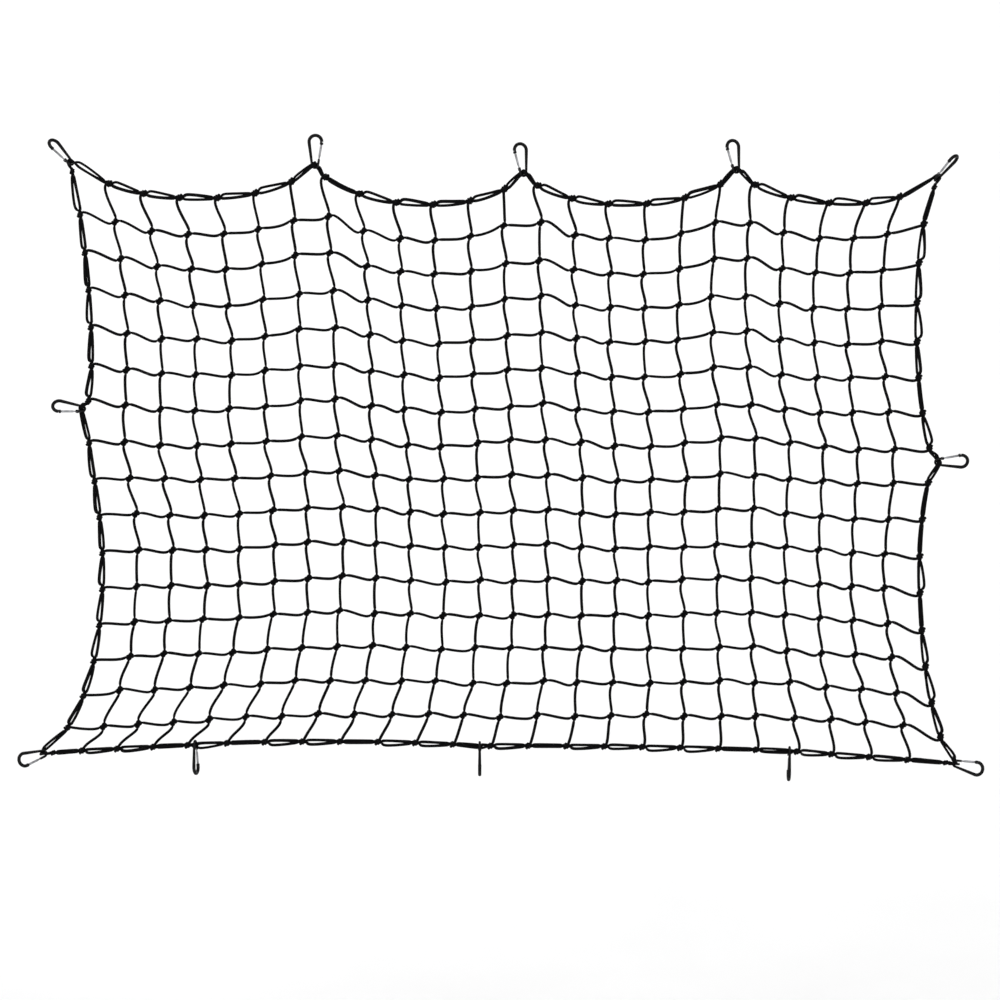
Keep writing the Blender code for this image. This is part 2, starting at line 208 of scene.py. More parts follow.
# ---- Runs of cord: rows of x, y, z and radius ---------------------------------------------------
def smoothed(stops: np.ndarray, steps: int, closed: bool = False) -> np.ndarray:
    """Run a smooth curve through stops.

    Args:
        stops: Rows of x, y, z and radius.
        steps: Points made for each gap between two stops.
        closed: Whether the run joins its own start.

    Returns:
        Rows of x, y, z and radius along the curve, the stops among them.
    """
    if closed:
        padded = np.vstack((stops[-1:], stops, stops[:2]))
    else:
        padded = np.vstack((2 * stops[:1] - stops[1:2], stops, 2 * stops[-1:] - stops[-2:-1]))
    before, start, end, after = padded[:-3], padded[1:-2], padded[2:-1], padded[3:]
    rows = []
    for step in range(steps):
        share = step / steps
        rows.append(0.5 * (2 * start + (end - before) * share
                           + (2 * before - 5 * start + 4 * end - after) * share ** 2
                           + (3 * start - before - 3 * end + after) * share ** 3))
    run = np.stack(rows, axis=1).reshape(-1, stops.shape[1])
    return run if closed else np.vstack((run, stops[-1:]))


def row(point: Vector, radius: float) -> Stop:
    """Return a stop of a run."""
    return (*point, radius)


class CordMesh:
    """Round cords gathered into one mesh, with UVs of turns round a cord and metres along it."""

    DEPTH = 0.001                  # bevel depth of the curve, which the points' radii scale

    def __init__(self, name: str, resolution: int) -> None:
        """Start an empty mesh.

        Args:
            name: Name of the finished piece.
            resolution: Bevel resolution of the cords; they get 4 + 2 * resolution sides.
        """
        self.name = name
        self.resolution = resolution
        self.cage = bmesh.new()

    def add(self, run: np.ndarray, closed: bool = False) -> None:
        """Add one cord.

        Args:
            run: Rows of x, y, z and radius.
            closed: Whether the cord is a loop.
        """
        curve = bpy.data.curves.new(self.name, "CURVE")
        curve.dimensions = "3D"
        curve.bevel_depth = self.DEPTH
        curve.bevel_resolution = self.resolution
        curve.use_fill_caps = not closed
        spline = curve.splines.new("POLY")
        spline.points.add(len(run) - 1)
        places = np.hstack((run[:, :3], np.ones((len(run), 1))))
        spline.points.foreach_set("co", places.ravel())
        spline.points.foreach_set("radius", run[:, 3] / self.DEPTH)
        spline.use_cyclic_u = closed
        item = bpy.data.objects.new(self.name, curve)
        bpy.context.scene.collection.objects.link(item)
        mesh = bpy.data.meshes.new_from_object(
            item.evaluated_get(bpy.context.evaluated_depsgraph_get()))
        self._measure(mesh, run, closed)
        self.cage.from_mesh(mesh)
        bpy.data.objects.remove(item, do_unlink=True)
        bpy.data.curves.remove(curve)
        bpy.data.meshes.remove(mesh)

    @staticmethod
    def _measure(mesh: bpy.types.Mesh, run: np.ndarray, closed: bool) -> None:
        """Rewrite a tube's UVs: across, its turn round the cord; up, its distance along it.

        Args:
            mesh: The tube.
            run: Rows of x, y, z and radius.
            closed: Whether it is a loop.
        """
        ring = np.vstack((run, run[:1])) if closed else run
        lengths = np.concatenate(([0.0], np.cumsum(
            np.linalg.norm(np.diff(ring[:, :3], axis=0), axis=1))))
        layer = mesh.uv_layers[0]
        uvs = np.empty(len(mesh.loops) * 2, dtype=np.float32)
        layer.uv.foreach_get("vector", uvs)
        uvs = uvs.reshape(-1, 2)
        index = np.clip(np.rint(uvs[:, 0] * (len(ring) - 1)).astype(int), 0, len(ring) - 1)
        fresh = np.column_stack((uvs[:, 1], lengths[index])).astype(np.float32)
        layer.uv.foreach_set("vector", fresh.ravel())

    def finish(self, material: Material) -> Piece:
        """Close the caps and return the finished piece.

        Args:
            material: The piece's finish.

        Returns:
            The piece, linked to the scene.
        """
        bmesh.ops.remove_doubles(self.cage, verts=self.cage.verts, dist=MERGE)
        return new_piece(self.name, self.cage, material)


def new_piece(name: str, cage: Cage, material: Material,
              smooth_angle: float = 180.0) -> Piece:
    """Turn a bmesh into a smooth shaded piece in the scene.

    Args:
        name: Name of the piece.
        cage: Its shape, which is freed.
        material: Its finish.
        smooth_angle: Edges sharper than this, in degrees, are shaded sharp.

    Returns:
        The piece, at the origin.
    """
    mesh = bpy.data.meshes.new(name)
    cage.to_mesh(mesh)
    cage.free()
    mesh.materials.clear()
    mesh.materials.append(material)
    mesh.shade_smooth()
    if smooth_angle < 180.0:
        mesh.set_sharp_from_angle(angle=math.radians(smooth_angle))
    item = bpy.data.objects.new(name, mesh)
    bpy.context.scene.collection.objects.link(item)
    LOG.info("%s: %d faces", name, len(mesh.polygons))
    return item


# ---- The net's lattice: where its knots lie -----------------------------------------------------
@dataclass(frozen=True)
class EdgeSpan:
    """One side of the net: its hooks, how deep it bows in each span, and how its knots have slid."""

    hooks: tuple[str, ...]
    bows: tuple[float, ...]
    skews: tuple[float, ...]       # 1 where the deepest place is the middle, more past it
    inward: tuple[float, float, float]
    slid: tuple[tuple[float, float], ...]    # share of the side's length, and metres slid along it


@dataclass
class Lattice:
    """Places of the knots and of the edge, the same as in the net's solid.

    The bows, skews, slides, stiffnesses and loads come from a fit to the knots' places in the
    photograph, rounded.
    """

    columns: int = 24
    rows: int = 16
    last_row_pull: float = 0.45    # more, at the left end of the last row
    last_row_span: int = 20        # columns over which that fades
    side_stiffness: tuple[float, float] = (0.015, 0.020)
    knot_load: tuple[float, float] = (0.00008, -0.00030)
    knot_scatter: float = 0.0028
    bow_power: float = 2.4
    bow_steps: int = 60
    relief_depth: float = 0.010
    relief_waves: tuple[float, float, float] = (5.1, 2.3, 0.4)   # across, down, where they start
    seed: int = 7

    SPANS = {
        Side.TOP: EdgeSpan(("top_left", "top_2", "top_middle", "top_4", "top_right"),
                           (0.0625, 0.0640, 0.0590, 0.0510), (1, 1, 1, 1), (0, 0, -1),
                           ((0.0, 0.0), (0.125, -0.0070), (0.375, 0.0025), (0.625, -0.0025),
                            (0.9, 0.0145), (1.0, 0.0))),
        Side.RIGHT: EdgeSpan(("top_right", "side_right", "bottom_right"),
                             (0.0340, 0.0430), (1, 1), (-1, 0, 0),
                             ((0.0, 0.0), (0.07, 0.0100), (0.25, 0.0280), (0.5, 0.0205),
                              (0.75, 0.0250), (0.93, 0.0260), (1.0, 0.0))),
        Side.BOTTOM: EdgeSpan(("bottom_left", "bottom_1", "bottom_2", "bottom_3", "bottom_right"),
                              (0.0, 0.0080, 0.0035, 0.0), (1, 1, 1, 1), (0, 0, 1),
                              ((0.0, 0.0), (0.05, -0.0175), (0.17, -0.0240), (0.5, -0.0195),
                               (0.75, -0.0125), (0.95, -0.0080), (1.0, 0.0))),
        Side.LEFT: EdgeSpan(("top_left", "side_left", "bottom_left"),
                            (0.0170, 0.0750), (1.5, 1.45), (1, 0, 0),
                            ((0.0, 0.0), (0.07, 0.0220), (0.25, 0.0225), (0.5, 0.0340),
                             (0.75, 0.0250), (0.93, 0.0200), (1.0, 0.0))),
    }

    def __post_init__(self) -> None:
        """Work out the edges and settle the knots between them."""
        self.edges = {side: self._side_points(span) for side, span in self.SPANS.items()}
        self.knots = self._settle()

    def count(self, side: Side) -> int:
        """Return the number of meshes along a side."""
        return self.columns if side in (Side.TOP, Side.BOTTOM) else self.rows

    def _side_points(self, span: EdgeSpan) -> list[Vector]:
        """Return a side's edge strand at every half mesh, with the nearest point on each hook.

        Args:
            span: The side.

        Returns:
            Points along the side, both corners among them.
        """
        stops = [HOOK_PLACES[name].edge_pass for name in span.hooks]
        inward = Vector(span.inward)
        curve = []
        for start, end, bow, skew in zip(stops, stops[1:], span.bows, span.skews):
            for step in range(self.bow_steps):
                share = step / self.bow_steps
                depth = bow * (1 - abs(2 * share ** skew - 1) ** self.bow_power)
                curve.append(start.lerp(end, share) + inward * depth)
        curve.append(stops[-1])
        count = 2 * (self.columns if inward.z else self.rows)
        lengths = np.cumsum([0.0] + [(b - a).length for a, b in zip(curve, curve[1:])])
        shares = np.linspace(0, 1, count + 1)
        wanted = shares * lengths[-1] + np.interp(shares, *zip(*span.slid))
        points = [Vector([float(np.interp(length, lengths, [point[axis] for point in curve]))
                          for axis in range(3)]) for length in wanted]
        for name in span.hooks[1:-1]:
            place = HOOK_PLACES[name].edge_pass
            nearest = min(range(1, count, 2), key=lambda index: (points[index] - place).length)
            if HOOK_PLACES[name].edge is not Pass.EYE:
                points[nearest] = place
        return points

    def _settle(self) -> np.ndarray:
        """Return the knots' x and z, [row][column], where the strands' pulls balance.

        Returns:
            An array of x and z for each row and column.
        """
        shape = (self.rows + 1, self.columns + 1)
        knots = np.zeros((*shape, 2))
        for rim, side in ((knots[0], Side.TOP), (knots[-1], Side.BOTTOM),
                          (knots[:, 0], Side.LEFT), (knots[:, -1], Side.RIGHT)):
            rim[:] = [(point.x, point.z) for point in self.edges[side][::2]]
        inner = [(line, column) for line in range(1, self.rows) for column in range(1, self.columns)]
        index = {place: number for number, place in enumerate(inner)}
        for axis in (0, 1):
            pulls = np.zeros((len(inner), len(inner)))
            loads = np.zeros(len(inner))
            soft = self.side_stiffness[axis]
            across, down = (1.0, soft) if axis == 0 else (soft, 1.0)
            for (line, column), number in index.items():
                loads[number] += self.knot_load[axis]
                extra = max(0.0, self.last_row_pull * (1 - column / self.last_row_span))
                last = 1 + extra if line == self.rows - 1 else 1.0
                for place, pull in (((line, column - 1), across), ((line, column + 1), across),
                                    ((line - 1, column), down), ((line + 1, column), down * last)):
                    pulls[number, number] += pull
                    if place in index:
                        pulls[number, index[place]] -= pull
                    else:
                        loads[number] += pull * knots[place][axis]
            solved = np.linalg.solve(pulls, loads)
            for (line, column), number in index.items():
                knots[line, column, axis] = solved[number]
        scatter = np.random.default_rng(self.seed).uniform(
            -self.knot_scatter, self.knot_scatter, (*shape, 2))
        knots[1:-1, 1:-1] += scatter[1:-1, 1:-1]
        return knots

    def knot(self, column: int, line: int) -> Vector:
        """Return the middle of a knot, with the net's shallow relief.

        Args:
            column: Column of the knot.
            line: Row of the knot.

        Returns:
            Its place.
        """
        across, down = column / self.columns, line / self.rows
        fade = math.sin(math.pi * across) * math.sin(math.pi * down)
        wave_across, wave_down, start = self.relief_waves
        depth = self.relief_depth * fade * math.sin(wave_across * across + wave_down * down + start)
        x, z = self.knots[line, column]
        return Vector((float(x), depth, float(z)))


@dataclass(frozen=True)
class EdgeFrame:
    """A place on the net's edge: its middle, the way along that its hitches start from, outward."""

    place: Vector
    along: Vector
    outward: Vector

    def at(self, along: float, outward: float, forward: float) -> Vector:
        """Return a point by its distances along the edge, outward and towards the front."""
        return self.place + self.along * along + self.outward * outward + FRONT * forward


@dataclass(frozen=True)
class Station:
    """A place that holds the edge's three cords together: a hook, or a hitch or tie round them."""

    side: Side
    hook: HookPlace | None = None
    hitch: EdgeFrame | None = None
    index: int = -1                # half mesh of a hitch

    @property
    def place(self) -> Vector:
        """Its middle."""
        return self.hook.seat if self.hook else self.hitch.place


@dataclass
class Edge:
    """The three cords that edge the net: its own edge strand and the perimeter cord, twice round."""

    lattice: Lattice
    spacing: float = 0.0032        # between the middles of two cords that a hitch squeezes
    front_share: float = 0.35      # how far the front two lie before the middle, of their height
    hitch_half: float = 0.0067     # half the length that a hitch takes up
    stack: float = 0.0034          # from one cord to the next in a hook's eye
    sunk: float = 0.0007           # the first cord lies this much nearer to the bar than the solid's
    through_half: float = 0.0042
    back_bias: float = 0.5         # where the way through a hook isn't clear, it goes to the back
    beside_bar: float = 0.0062
    turn_run: float = 0.0030
    past_bar: float = 0.0125
    eye_half: float = 0.0035       # straight run to each side of a hanging hook
    least_run: float = 0.012       # shorter runs between two places that hold the cords stay close
    closed_gap: float = 0.0010
    inner_dip: float = 0.0014
    beside: tuple[float, float] = (0.2, 1.0)         # least and most of the third cord's offset
    taut_share: float = 0.62       # of a gap that is left beside a hook
    taut_spread: float = 0.5       # of the cords' spread that is left there
    full_run: float = 0.055        # runs shorter than this open less
    spread_rate: float = 9.0       # the cords spread in full a ninth of a run from its ends
    steps: int = 3
    seed: int = 8

    # Share of a run from its wide end, and how far open the wedge between the cords is there.
    WEDGE = ((0.06, 0.62), (0.15, 1.00), (0.35, 0.98), (0.56, 0.76), (0.76, 0.46), (0.92, 0.14))
    # How the cords part in the meshes of each side: share of the meshes, narrowest and widest gap,
    # and how far the third cord shows beside the one that it lies behind.
    PARTING = {Side.TOP: (0.92, 0.0050, 0.0092, 0.0018), Side.RIGHT: (0.78, 0.0034, 0.0082, 0.0026),
               Side.BOTTOM: (0.76, 0.0030, 0.0062, 0.0024), Side.LEFT: (0.88, 0.0030, 0.0062, 0.0016)}
    # How far the cords spread where nothing squeezes them: outward and forward.
    SPREAD = ((-0.0004, 0.0007), (0.0004, 0.0004), (0.0000, -0.0019))
    # Each cord's place in a hook's eye, counted from its narrow bend.
    LAYERS = (0, 2, 1)
    # The way a hitch's start lies from its middle, by side.
    STARTS = {Side.TOP: (-1, 0, 0), Side.RIGHT: (0, 0, -1), Side.BOTTOM: (1, 0, 0),
              Side.LEFT: (0, 0, 1)}
    # The way that the perimeter cord takes: side, whether it runs it backwards, and whether the
    # cords part right after a hitch or just before the next one.
    ROUND = ((Side.TOP, False, True), (Side.RIGHT, False, False),
             (Side.BOTTOM, True, False), (Side.LEFT, True, True))
    # Least distance from a hook to a hitch, by the way the edge passes the hook.
    ROOM = {Pass.BEND: 0.0195, Pass.CORNER: 0.0195, Pass.EYE: 0.0160}
    # Ties beside the corner hooks: side and distance from the hook.
    TIES = {"top_left": (Side.LEFT, 0.0195), "top_right": (Side.RIGHT, 0.0200),
            "bottom_right": (Side.BOTTOM, 0.0215), "bottom_left": (Side.BOTTOM, 0.0195)}

    def frame(self, side: Side, index: int) -> EdgeFrame:
        """Return the edge's frame at a half mesh of a side.

        Args:
            side: Side of the net.
            index: Half meshes from the side's start.

        Returns:
            The frame.
        """
        points = self.lattice.edges[side]
        before, after = points[max(index - 1, 0)], points[min(index + 1, len(points) - 1)]
        return self._facing(side, points[index], after - before)

    def _facing(self, side: Side, place: Vector, way: Vector) -> EdgeFrame:
        """Return a frame on a side whose axes point the side's way along and outward.

        Args:
            side: Side of the net.
            place: Middle of the frame.
            way: Direction along the edge.

        Returns:
            The frame.
        """
        along = way.normalized()
        if along.dot(Vector(self.STARTS[side])) < 0:
            along = -along
        outward = along.cross(FRONT)
        if outward.dot(Vector(self.lattice.SPANS[side].inward)) > 0:
            outward = -outward
        return EdgeFrame(place, along, outward)

    def bundle(self) -> tuple[tuple[float, float], ...]:
        """Return outward and forward offsets of the three cords where a hitch holds them.

        Returns:
            Two distances for each cord.
        """
        lift = self.spacing * math.sqrt(3) / 2
        front = self.front_share * lift
        return ((-self.spacing / 2, front), (self.spacing / 2, front), (0.0, front - lift))

    def hitch_frame(self, side: Side, index: int) -> EdgeFrame:
        """Return the frame of the hitch at a knot of the edge, moved clear of a hook there.

        Args:
            side: Side of the net.
            index: Half meshes from the side's start.

        Returns:
            The frame.
        """
        here = self.frame(side, index)
        shift = 0.0
        for name in self.lattice.SPANS[side].hooks:
            hook = HOOK_PLACES[name]
            away = (here.place - hook.edge_pass).dot(here.along)
            room = self.ROOM[hook.edge]
            if abs(away) < room and (here.place - hook.edge_pass).length < 2 * room:
                shift = math.copysign(room, away) - away
        return EdgeFrame(here.at(shift, self.spacing / 2, 0.0), here.along, here.outward)

    def tie_frame(self, name: str) -> EdgeFrame:
        """Return the frame of the tie beside a corner hook.

        Args:
            name: Name of the hook's place.

        Returns:
            The frame.
        """
        side, distance = self.TIES[name]
        hooks = self.lattice.SPANS[side].hooks
        nearest = 2 if hooks[0] == name else 2 * self.lattice.count(side) - 2
        seat = HOOK_PLACES[name].seat
        way = (self.hitch_frame(side, nearest).place - seat).normalized()
        return self._facing(side, seat + way * distance, way)

    def stations(self) -> list[Station]:
        """Return the places that hold the cords, in the order in which the cord meets them.

        Returns:
            The stations, once round the net.
        """
        found = []
        for side, backwards, _ in self.ROUND:
            hooks = self.lattice.SPANS[side].hooks
            names = hooks[::-1] if backwards else hooks
            way = HOOK_PLACES[names[-1]].seat - HOOK_PLACES[names[0]].seat
            here = [Station(side, hook=HOOK_PLACES[name]) for name in names[:-1]]
            here += [Station(side, hitch=self.hitch_frame(side, index), index=index)
                     for index in range(2, 2 * self.lattice.count(side), 2)]
            here += [Station(side, hitch=self.tie_frame(name))
                     for name, (tied, _) in self.TIES.items() if tied is side]
            found += sorted(here, key=lambda station: station.place.dot(way))
        return found

    def through_hook(self, hook: HookPlace, arriving: Vector, leaving: Vector,
                     layer: int) -> list[Stop]:
        """Return a cord's turn through a hook: past one side of its bar, the eye and the other.

        Args:
            hook: The hook.
            arriving: Direction in which the cord comes.
            leaving: Direction in which it goes on.
            layer: Number of cords between this one and the hook's narrow bend.

        Returns:
            Six stops.
        """
        along, _, normal = hook.axes()
        if normal.dot(arriving + leaving) + self.back_bias * normal.y < 0:
            normal = -normal
        middle = hook.seat + along * (self.stack * layer - self.sunk)
        turn = []
        for way, sign in ((arriving, -1), (leaving, 1)):
            aside = (way - normal * way.dot(normal)) * sign
            beside = middle + normal * sign * self.beside_bar
            turn.append([row(beside + aside * self.past_bar, CORD.taut),
                         row(beside + aside * self.turn_run, CORD.knotted),
                         row(middle + normal * sign * self.through_half, CORD.knotted)])
        return turn[0] + turn[1][::-1]

    def held(self, station: Station, arriving: Vector, leaving: Vector,
             cord: int) -> list[Stop]:
        """Return a cord's stops where a hook, a hitch or a tie holds it.

        Args:
            station: What holds it.
            arriving: Direction in which the cord comes.
            leaving: Direction in which it goes on.
            cord: Number of the cord: 0 for the edge strand, 1 and 2 for the perimeter cord.

        Returns:
            Two or six stops, in the cord's way round the net.
        """
        hook = station.hook
        if hook and hook.edge is not Pass.EYE:
            return self.through_hook(hook, arriving, leaving, self.LAYERS[cord])
        if hook:
            middle = hook.seat + hook.axes()[0] * (self.stack * self.LAYERS[cord])
            way = (arriving + leaving).normalized() * self.eye_half
            return [row(middle - way, CORD.knotted), row(middle + way, CORD.knotted)]
        outward, forward = self.bundle()[cord]
        sign = 1 if station.hitch.along.dot(arriving + leaving) > 0 else -1
        return [row(station.hitch.at(sign * end * self.hitch_half, outward, forward), CORD.gripped)
                for end in (-1, 1)]

    def runs(self) -> list[np.ndarray]:
        """Return the closed runs of the edge strand and of the perimeter cord's two rounds.

        Returns:
            Three runs of x, y, z and radius.
        """
        chance = np.random.default_rng(self.seed)
        stations = self.stations()
        holds = []
        for before, station, after in zip(stations[-1:] + stations[:-1], stations,
                                          stations[1:] + stations[:1]):
            arriving = (station.place - before.place).normalized()
            leaving = (after.place - station.place).normalized()
            holds.append([self.held(station, arriving, leaving, cord) for cord in range(3)])
        stops: list[list[Stop]] = [[], [], []]
        for number, station in enumerate(stations):
            following = (number + 1) % len(stations)
            between = self._between(station, stations[following], holds[number],
                                    holds[following], chance)
            for cord in range(3):
                stops[cord] += holds[number][cord] + between[cord]
        return [smoothed(np.array(cord), self.steps, closed=True) for cord in stops]

    def _between(self, start: Station, end: Station, held: list[list[Stop]],
                 following: list[list[Stop]], chance: np.random.Generator) -> list[list[Stop]]:
        """Return the three cords' stops between two places that hold them.

        Args:
            start: The first place.
            end: The place after it.
            held: The cords' stops at the first.
            following: The cords' stops at the second.
            chance: Where the random draws come from.

        Returns:
            Stops for each cord, none where the places are close.
        """
        ends = [(Vector(held[cord][-1][:3]), Vector(following[cord][0][:3])) for cord in range(3)]
        length = (ends[0][1] - ends[0][0]).length
        taut = start.hook is not None or end.hook is not None
        open_share, narrowest, widest, aside = self.PARTING[start.side]
        parted = chance.random() < open_share
        open_by = chance.uniform(narrowest, widest) if parted else (
            chance.uniform(0.0, self.closed_gap))
        behind_inner = chance.random() < 0.5
        beside = aside * chance.uniform(*self.beside)
        inner_by = chance.uniform(0.0, self.inner_dip)
        between: list[list[Stop]] = [[], [], []]
        if length < self.least_run:
            return between
        open_by *= min(1.0, length / self.full_run) * (self.taut_share if taut else 1.0)
        radius = CORD.taut if taut else CORD.edge
        wide_first = {side: first for side, _, first in self.ROUND}[start.side]
        wedge = self.WEDGE if wide_first else [(1 - share, width)
                                               for share, width in reversed(self.WEDGE)]
        here = self._facing(start.side, ends[0][0], ends[0][1] - ends[0][0])
        bow = self._bow(start, end)
        for share, width in wedge:
            inner, outer = -inner_by * width, open_by * width
            behind = inner - beside * width if behind_inner else outer + beside * width
            apart = (inner, outer, behind)
            loose = min(1.0, self.spread_rate * share, self.spread_rate * (1 - share))
            loose *= self.taut_spread if taut else 1.0
            for cord, (spread, forward) in enumerate(self.SPREAD):
                point = ends[cord][0].lerp(ends[cord][1], share) + bow * (4 * share * (1 - share))
                point += here.outward * (apart[cord] + spread * loose) + FRONT * (forward * loose)
                between[cord].append(row(point, radius))
        return between

    def _bow(self, start: Station, end: Station) -> Vector:
        """Return how far the edge bows in the middle of the mesh between two knots.

        Args:
            start: The first place that holds the cords.
            end: The place after it.

        Returns:
            A vector, nought where either isn't a hitch or they are on two sides.
        """
        if start.index < 0 or end.index < 0 or start.side is not end.side:
            return Vector()
        points = self.lattice.edges[start.side]
        return points[(start.index + end.index) // 2] - (
            points[start.index] + points[end.index]) / 2


# ---- The net's own cords -------------------------------------------------------------------------
@dataclass
class NetCords:
    """The cords that the net is knotted from."""

    lattice: Lattice
    edge: Edge
    unit: float = 0.0039           # a knot's own unit, close to the thickness of its squeezed cord
    tilt: float = 9.0              # degrees that a knot may be turned by
    pitch: float = 0.0036          # from one turn of a hitch to the next
    hitch_swell: float = 1.14      # thickness of a hitch's cord against a knot's
    wrap: float = 0.0043           # radius of a hitch, to the middle of its cord
    tie_size: float = 0.78         # of the ties beside the corner hooks, against a full hitch
    steps: int = 2
    seed: int = 21

    # Least and most of what differs from knot to knot: its size, how far its strands' handles reach
    # (away from and back to it), and how its strands lean.
    SIZES = (0.95, 1.07)
    LEVEL_PULL = ((0.014, 0.007), (0.024, 0.0140))
    UPRIGHT_PULL = ((0.008, 0.010), (0.016, 0.018))
    LEVEL_WAY = (-0.14, 0.10)
    UPRIGHT_WAY = (0.16, 0.40)
    # The way that a strand leaves a knot to the left, and how much it leans up against down.
    LEFTWARD = Vector((-0.72, 0, -0.69))
    UPWARD_LEAN = 0.3
    # Handle of a hitch's strand: its way along and outward, and its length.
    HITCH_HANDLE = (0.36, -0.93, 0.015)
    # Shares of a strand at which it has stops between two knots.
    LINK_SHARES = (0.10, 0.26, 0.44, 0.62, 0.78, 0.91)
    # How full the hitches of each side are.
    FULLNESS = {Side.TOP: 1.10, Side.RIGHT: 1.08, Side.BOTTOM: 1.00, Side.LEFT: 0.96}
    # Half of a knot's bight, from its leg to the middle of its bend: along the knot, across it and
    # towards the front, in the knot's units.
    BIGHT = (
        (-1.95, 1.20, 0.15),
        (-1.75, 0.95, 0.50),
        (-1.35, 0.54, 0.62),
        (-0.75, 0.38, 0.20),
        (0.00, 0.52, -0.68),
        (0.50, 1.02, -0.58),
        (1.20, 1.12, 0.35),
        (1.58, 0.62, 0.70),
        (1.62, 0.00, 0.60),
    )
    # A hitch round the edge: turns from its inner side over the front, place along, lift.
    HITCH = (
        (0.10, 1.00, 0.00),
        (0.25, 1.20, -0.30),
        (0.42, 1.35, -0.40),
        (0.58, 1.40, -0.42),
        (0.75, 1.40, -0.42),
        (0.92, 1.30, -0.25),
        (1.08, 1.00, 0.45),
        (1.25, 0.00, 0.78),
        (1.42, -1.00, 0.45),
        (1.58, -1.35, -0.25),
        (1.75, -1.40, -0.42),
        (1.92, -1.38, -0.42),
        (2.08, -1.30, -0.35),
        (2.25, -1.10, -0.10),
        (2.42, -0.75, 0.00),
        (2.58, -0.55, 0.03),
        (2.75, -0.50, 0.05),
        (2.92, -0.45, 0.05),
        (3.08, -0.35, 0.05),
        (3.25, 0.00, 0.02),
        (3.42, 0.35, 0.03),
        (3.58, 0.45, 0.05),
        (3.75, 0.50, 0.05),
        (3.92, 0.55, 0.02),
        (4.10, 0.65, -0.10),
        (4.25, 0.80, -0.45),
    )

    def __post_init__(self) -> None:
        """Draw each knot's own tilt and size."""
        chance = np.random.default_rng(self.seed)
        shape = (self.lattice.rows + 1, self.lattice.columns + 1)
        self.tilts = np.radians(chance.uniform(-self.tilt, self.tilt, shape))
        self.sizes = chance.uniform(*self.SIZES, shape)
        self.level_pull = chance.uniform(*self.LEVEL_PULL, (*shape, 2))
        self.upright_pull = chance.uniform(*self.UPRIGHT_PULL, (*shape, 2))
        self.level_way = chance.uniform(*self.LEVEL_WAY, shape)
        self.upright_way = chance.uniform(*self.UPRIGHT_WAY, shape)

    def place(self, column: int, line: int, along: float, across: float, forward: float) -> Vector:
        """Return a point of a knot from its own units.

        Args:
            column: Column of the knot.
            line: Row of the knot.
            along: Distance along the knot.
            across: Distance across it.
            forward: Distance towards the front.

        Returns:
            The point.
        """
        size = self.unit * self.sizes[line, column]
        x = (-along - across) / math.sqrt(2)
        z = (across - along) / math.sqrt(2)
        cos, sin = math.cos(self.tilts[line, column]), math.sin(self.tilts[line, column])
        offset = Vector((x * cos - z * sin, -forward, x * sin + z * cos)) * size
        return self.lattice.knot(column, line) + offset

    def bight(self, column: int, line: int, mirrored: bool) -> list[Stop]:
        """Return one of a knot's two bights.

        Args:
            column: Column of the knot.
            line: Row of the knot.
            mirrored: False for the bight between the upper and right legs, and True for the one
                between the left and lower legs.

        Returns:
            Stops from the leg that goes up or left to the other leg.
        """
        sign = -1 if mirrored else 1
        half = [(sign * along, across, sign * forward) for along, across, forward in self.BIGHT]
        other = [(along, -across, forward) for along, across, forward in reversed(half[:-1])]
        return [row(self.place(column, line, *point), CORD.knotted) for point in half + other]

    def link(self, start: Vector, out: Vector, end: Vector, into: Vector) -> list[Stop]:
        """Return a strand's stops between two knots.

        Args:
            start: Its first point.
            out: Handle there, away from it.
            end: Its last point.
            into: Handle there, away from it.

        Returns:
            Stops without the two end points.
        """
        stops = []
        for share in self.LINK_SHARES:
            rest = 1 - share
            point = (start * rest ** 3 + (start + out) * (3 * rest ** 2 * share)
                     + (end + into) * (3 * rest * share ** 2) + end * share ** 3)
            stops.append(row(point, CORD.radius))
        return stops

    def leg(self, column: int, line: int, way: str) -> tuple[Vector, Vector]:
        """Return where a leg leaves its knot, and the handle of the strand that goes on from it.

        Args:
            column: Column of the knot.
            line: Row of the knot.
            way: The way that the leg goes: up, down, left or right.

        Returns:
            The place and the handle.
        """
        stops = self.bight(column, line, way in ("left", "down"))
        place = Vector(stops[0][:3] if way in ("up", "left") else stops[-1][:3])
        level, upright = self.level_pull[line, column], self.upright_pull[line, column]
        if way == "right":
            return place, Vector((1, 0, self.level_way[line, column])) * level[0]
        if way == "left":
            return place, self.LEFTWARD * level[1]
        lean = -self.upright_way[line, column]
        if way == "up":
            return place, Vector((lean * self.UPWARD_LEAN, 0, 1)) * upright[1]
        return place, Vector((lean, 0, -1)) * upright[0]

    def hitch(self, here: EdgeFrame, size: float) -> tuple[list[Stop], Vector]:
        """Return the stops of a hitch round the edge, and its strand's handle.

        Args:
            here: Frame of its middle.
            size: Its size against a full hitch.

        Returns:
            Stops from the strand to the hitch's tucked end, and the way its strand leaves it.
        """
        stops = []
        for turns, along, lift in self.HITCH:
            angle = 2 * math.pi * turns
            radius = size * (self.wrap + lift * 2 * CORD.knotted)
            spot = here.at(along * self.pitch * size, -radius * math.cos(angle),
                           radius * math.sin(angle))
            stops.append(row(spot, CORD.knotted * self.hitch_swell * size))
        along, outward, length = self.HITCH_HANDLE
        return stops, (here.along * along + here.outward * outward) * length

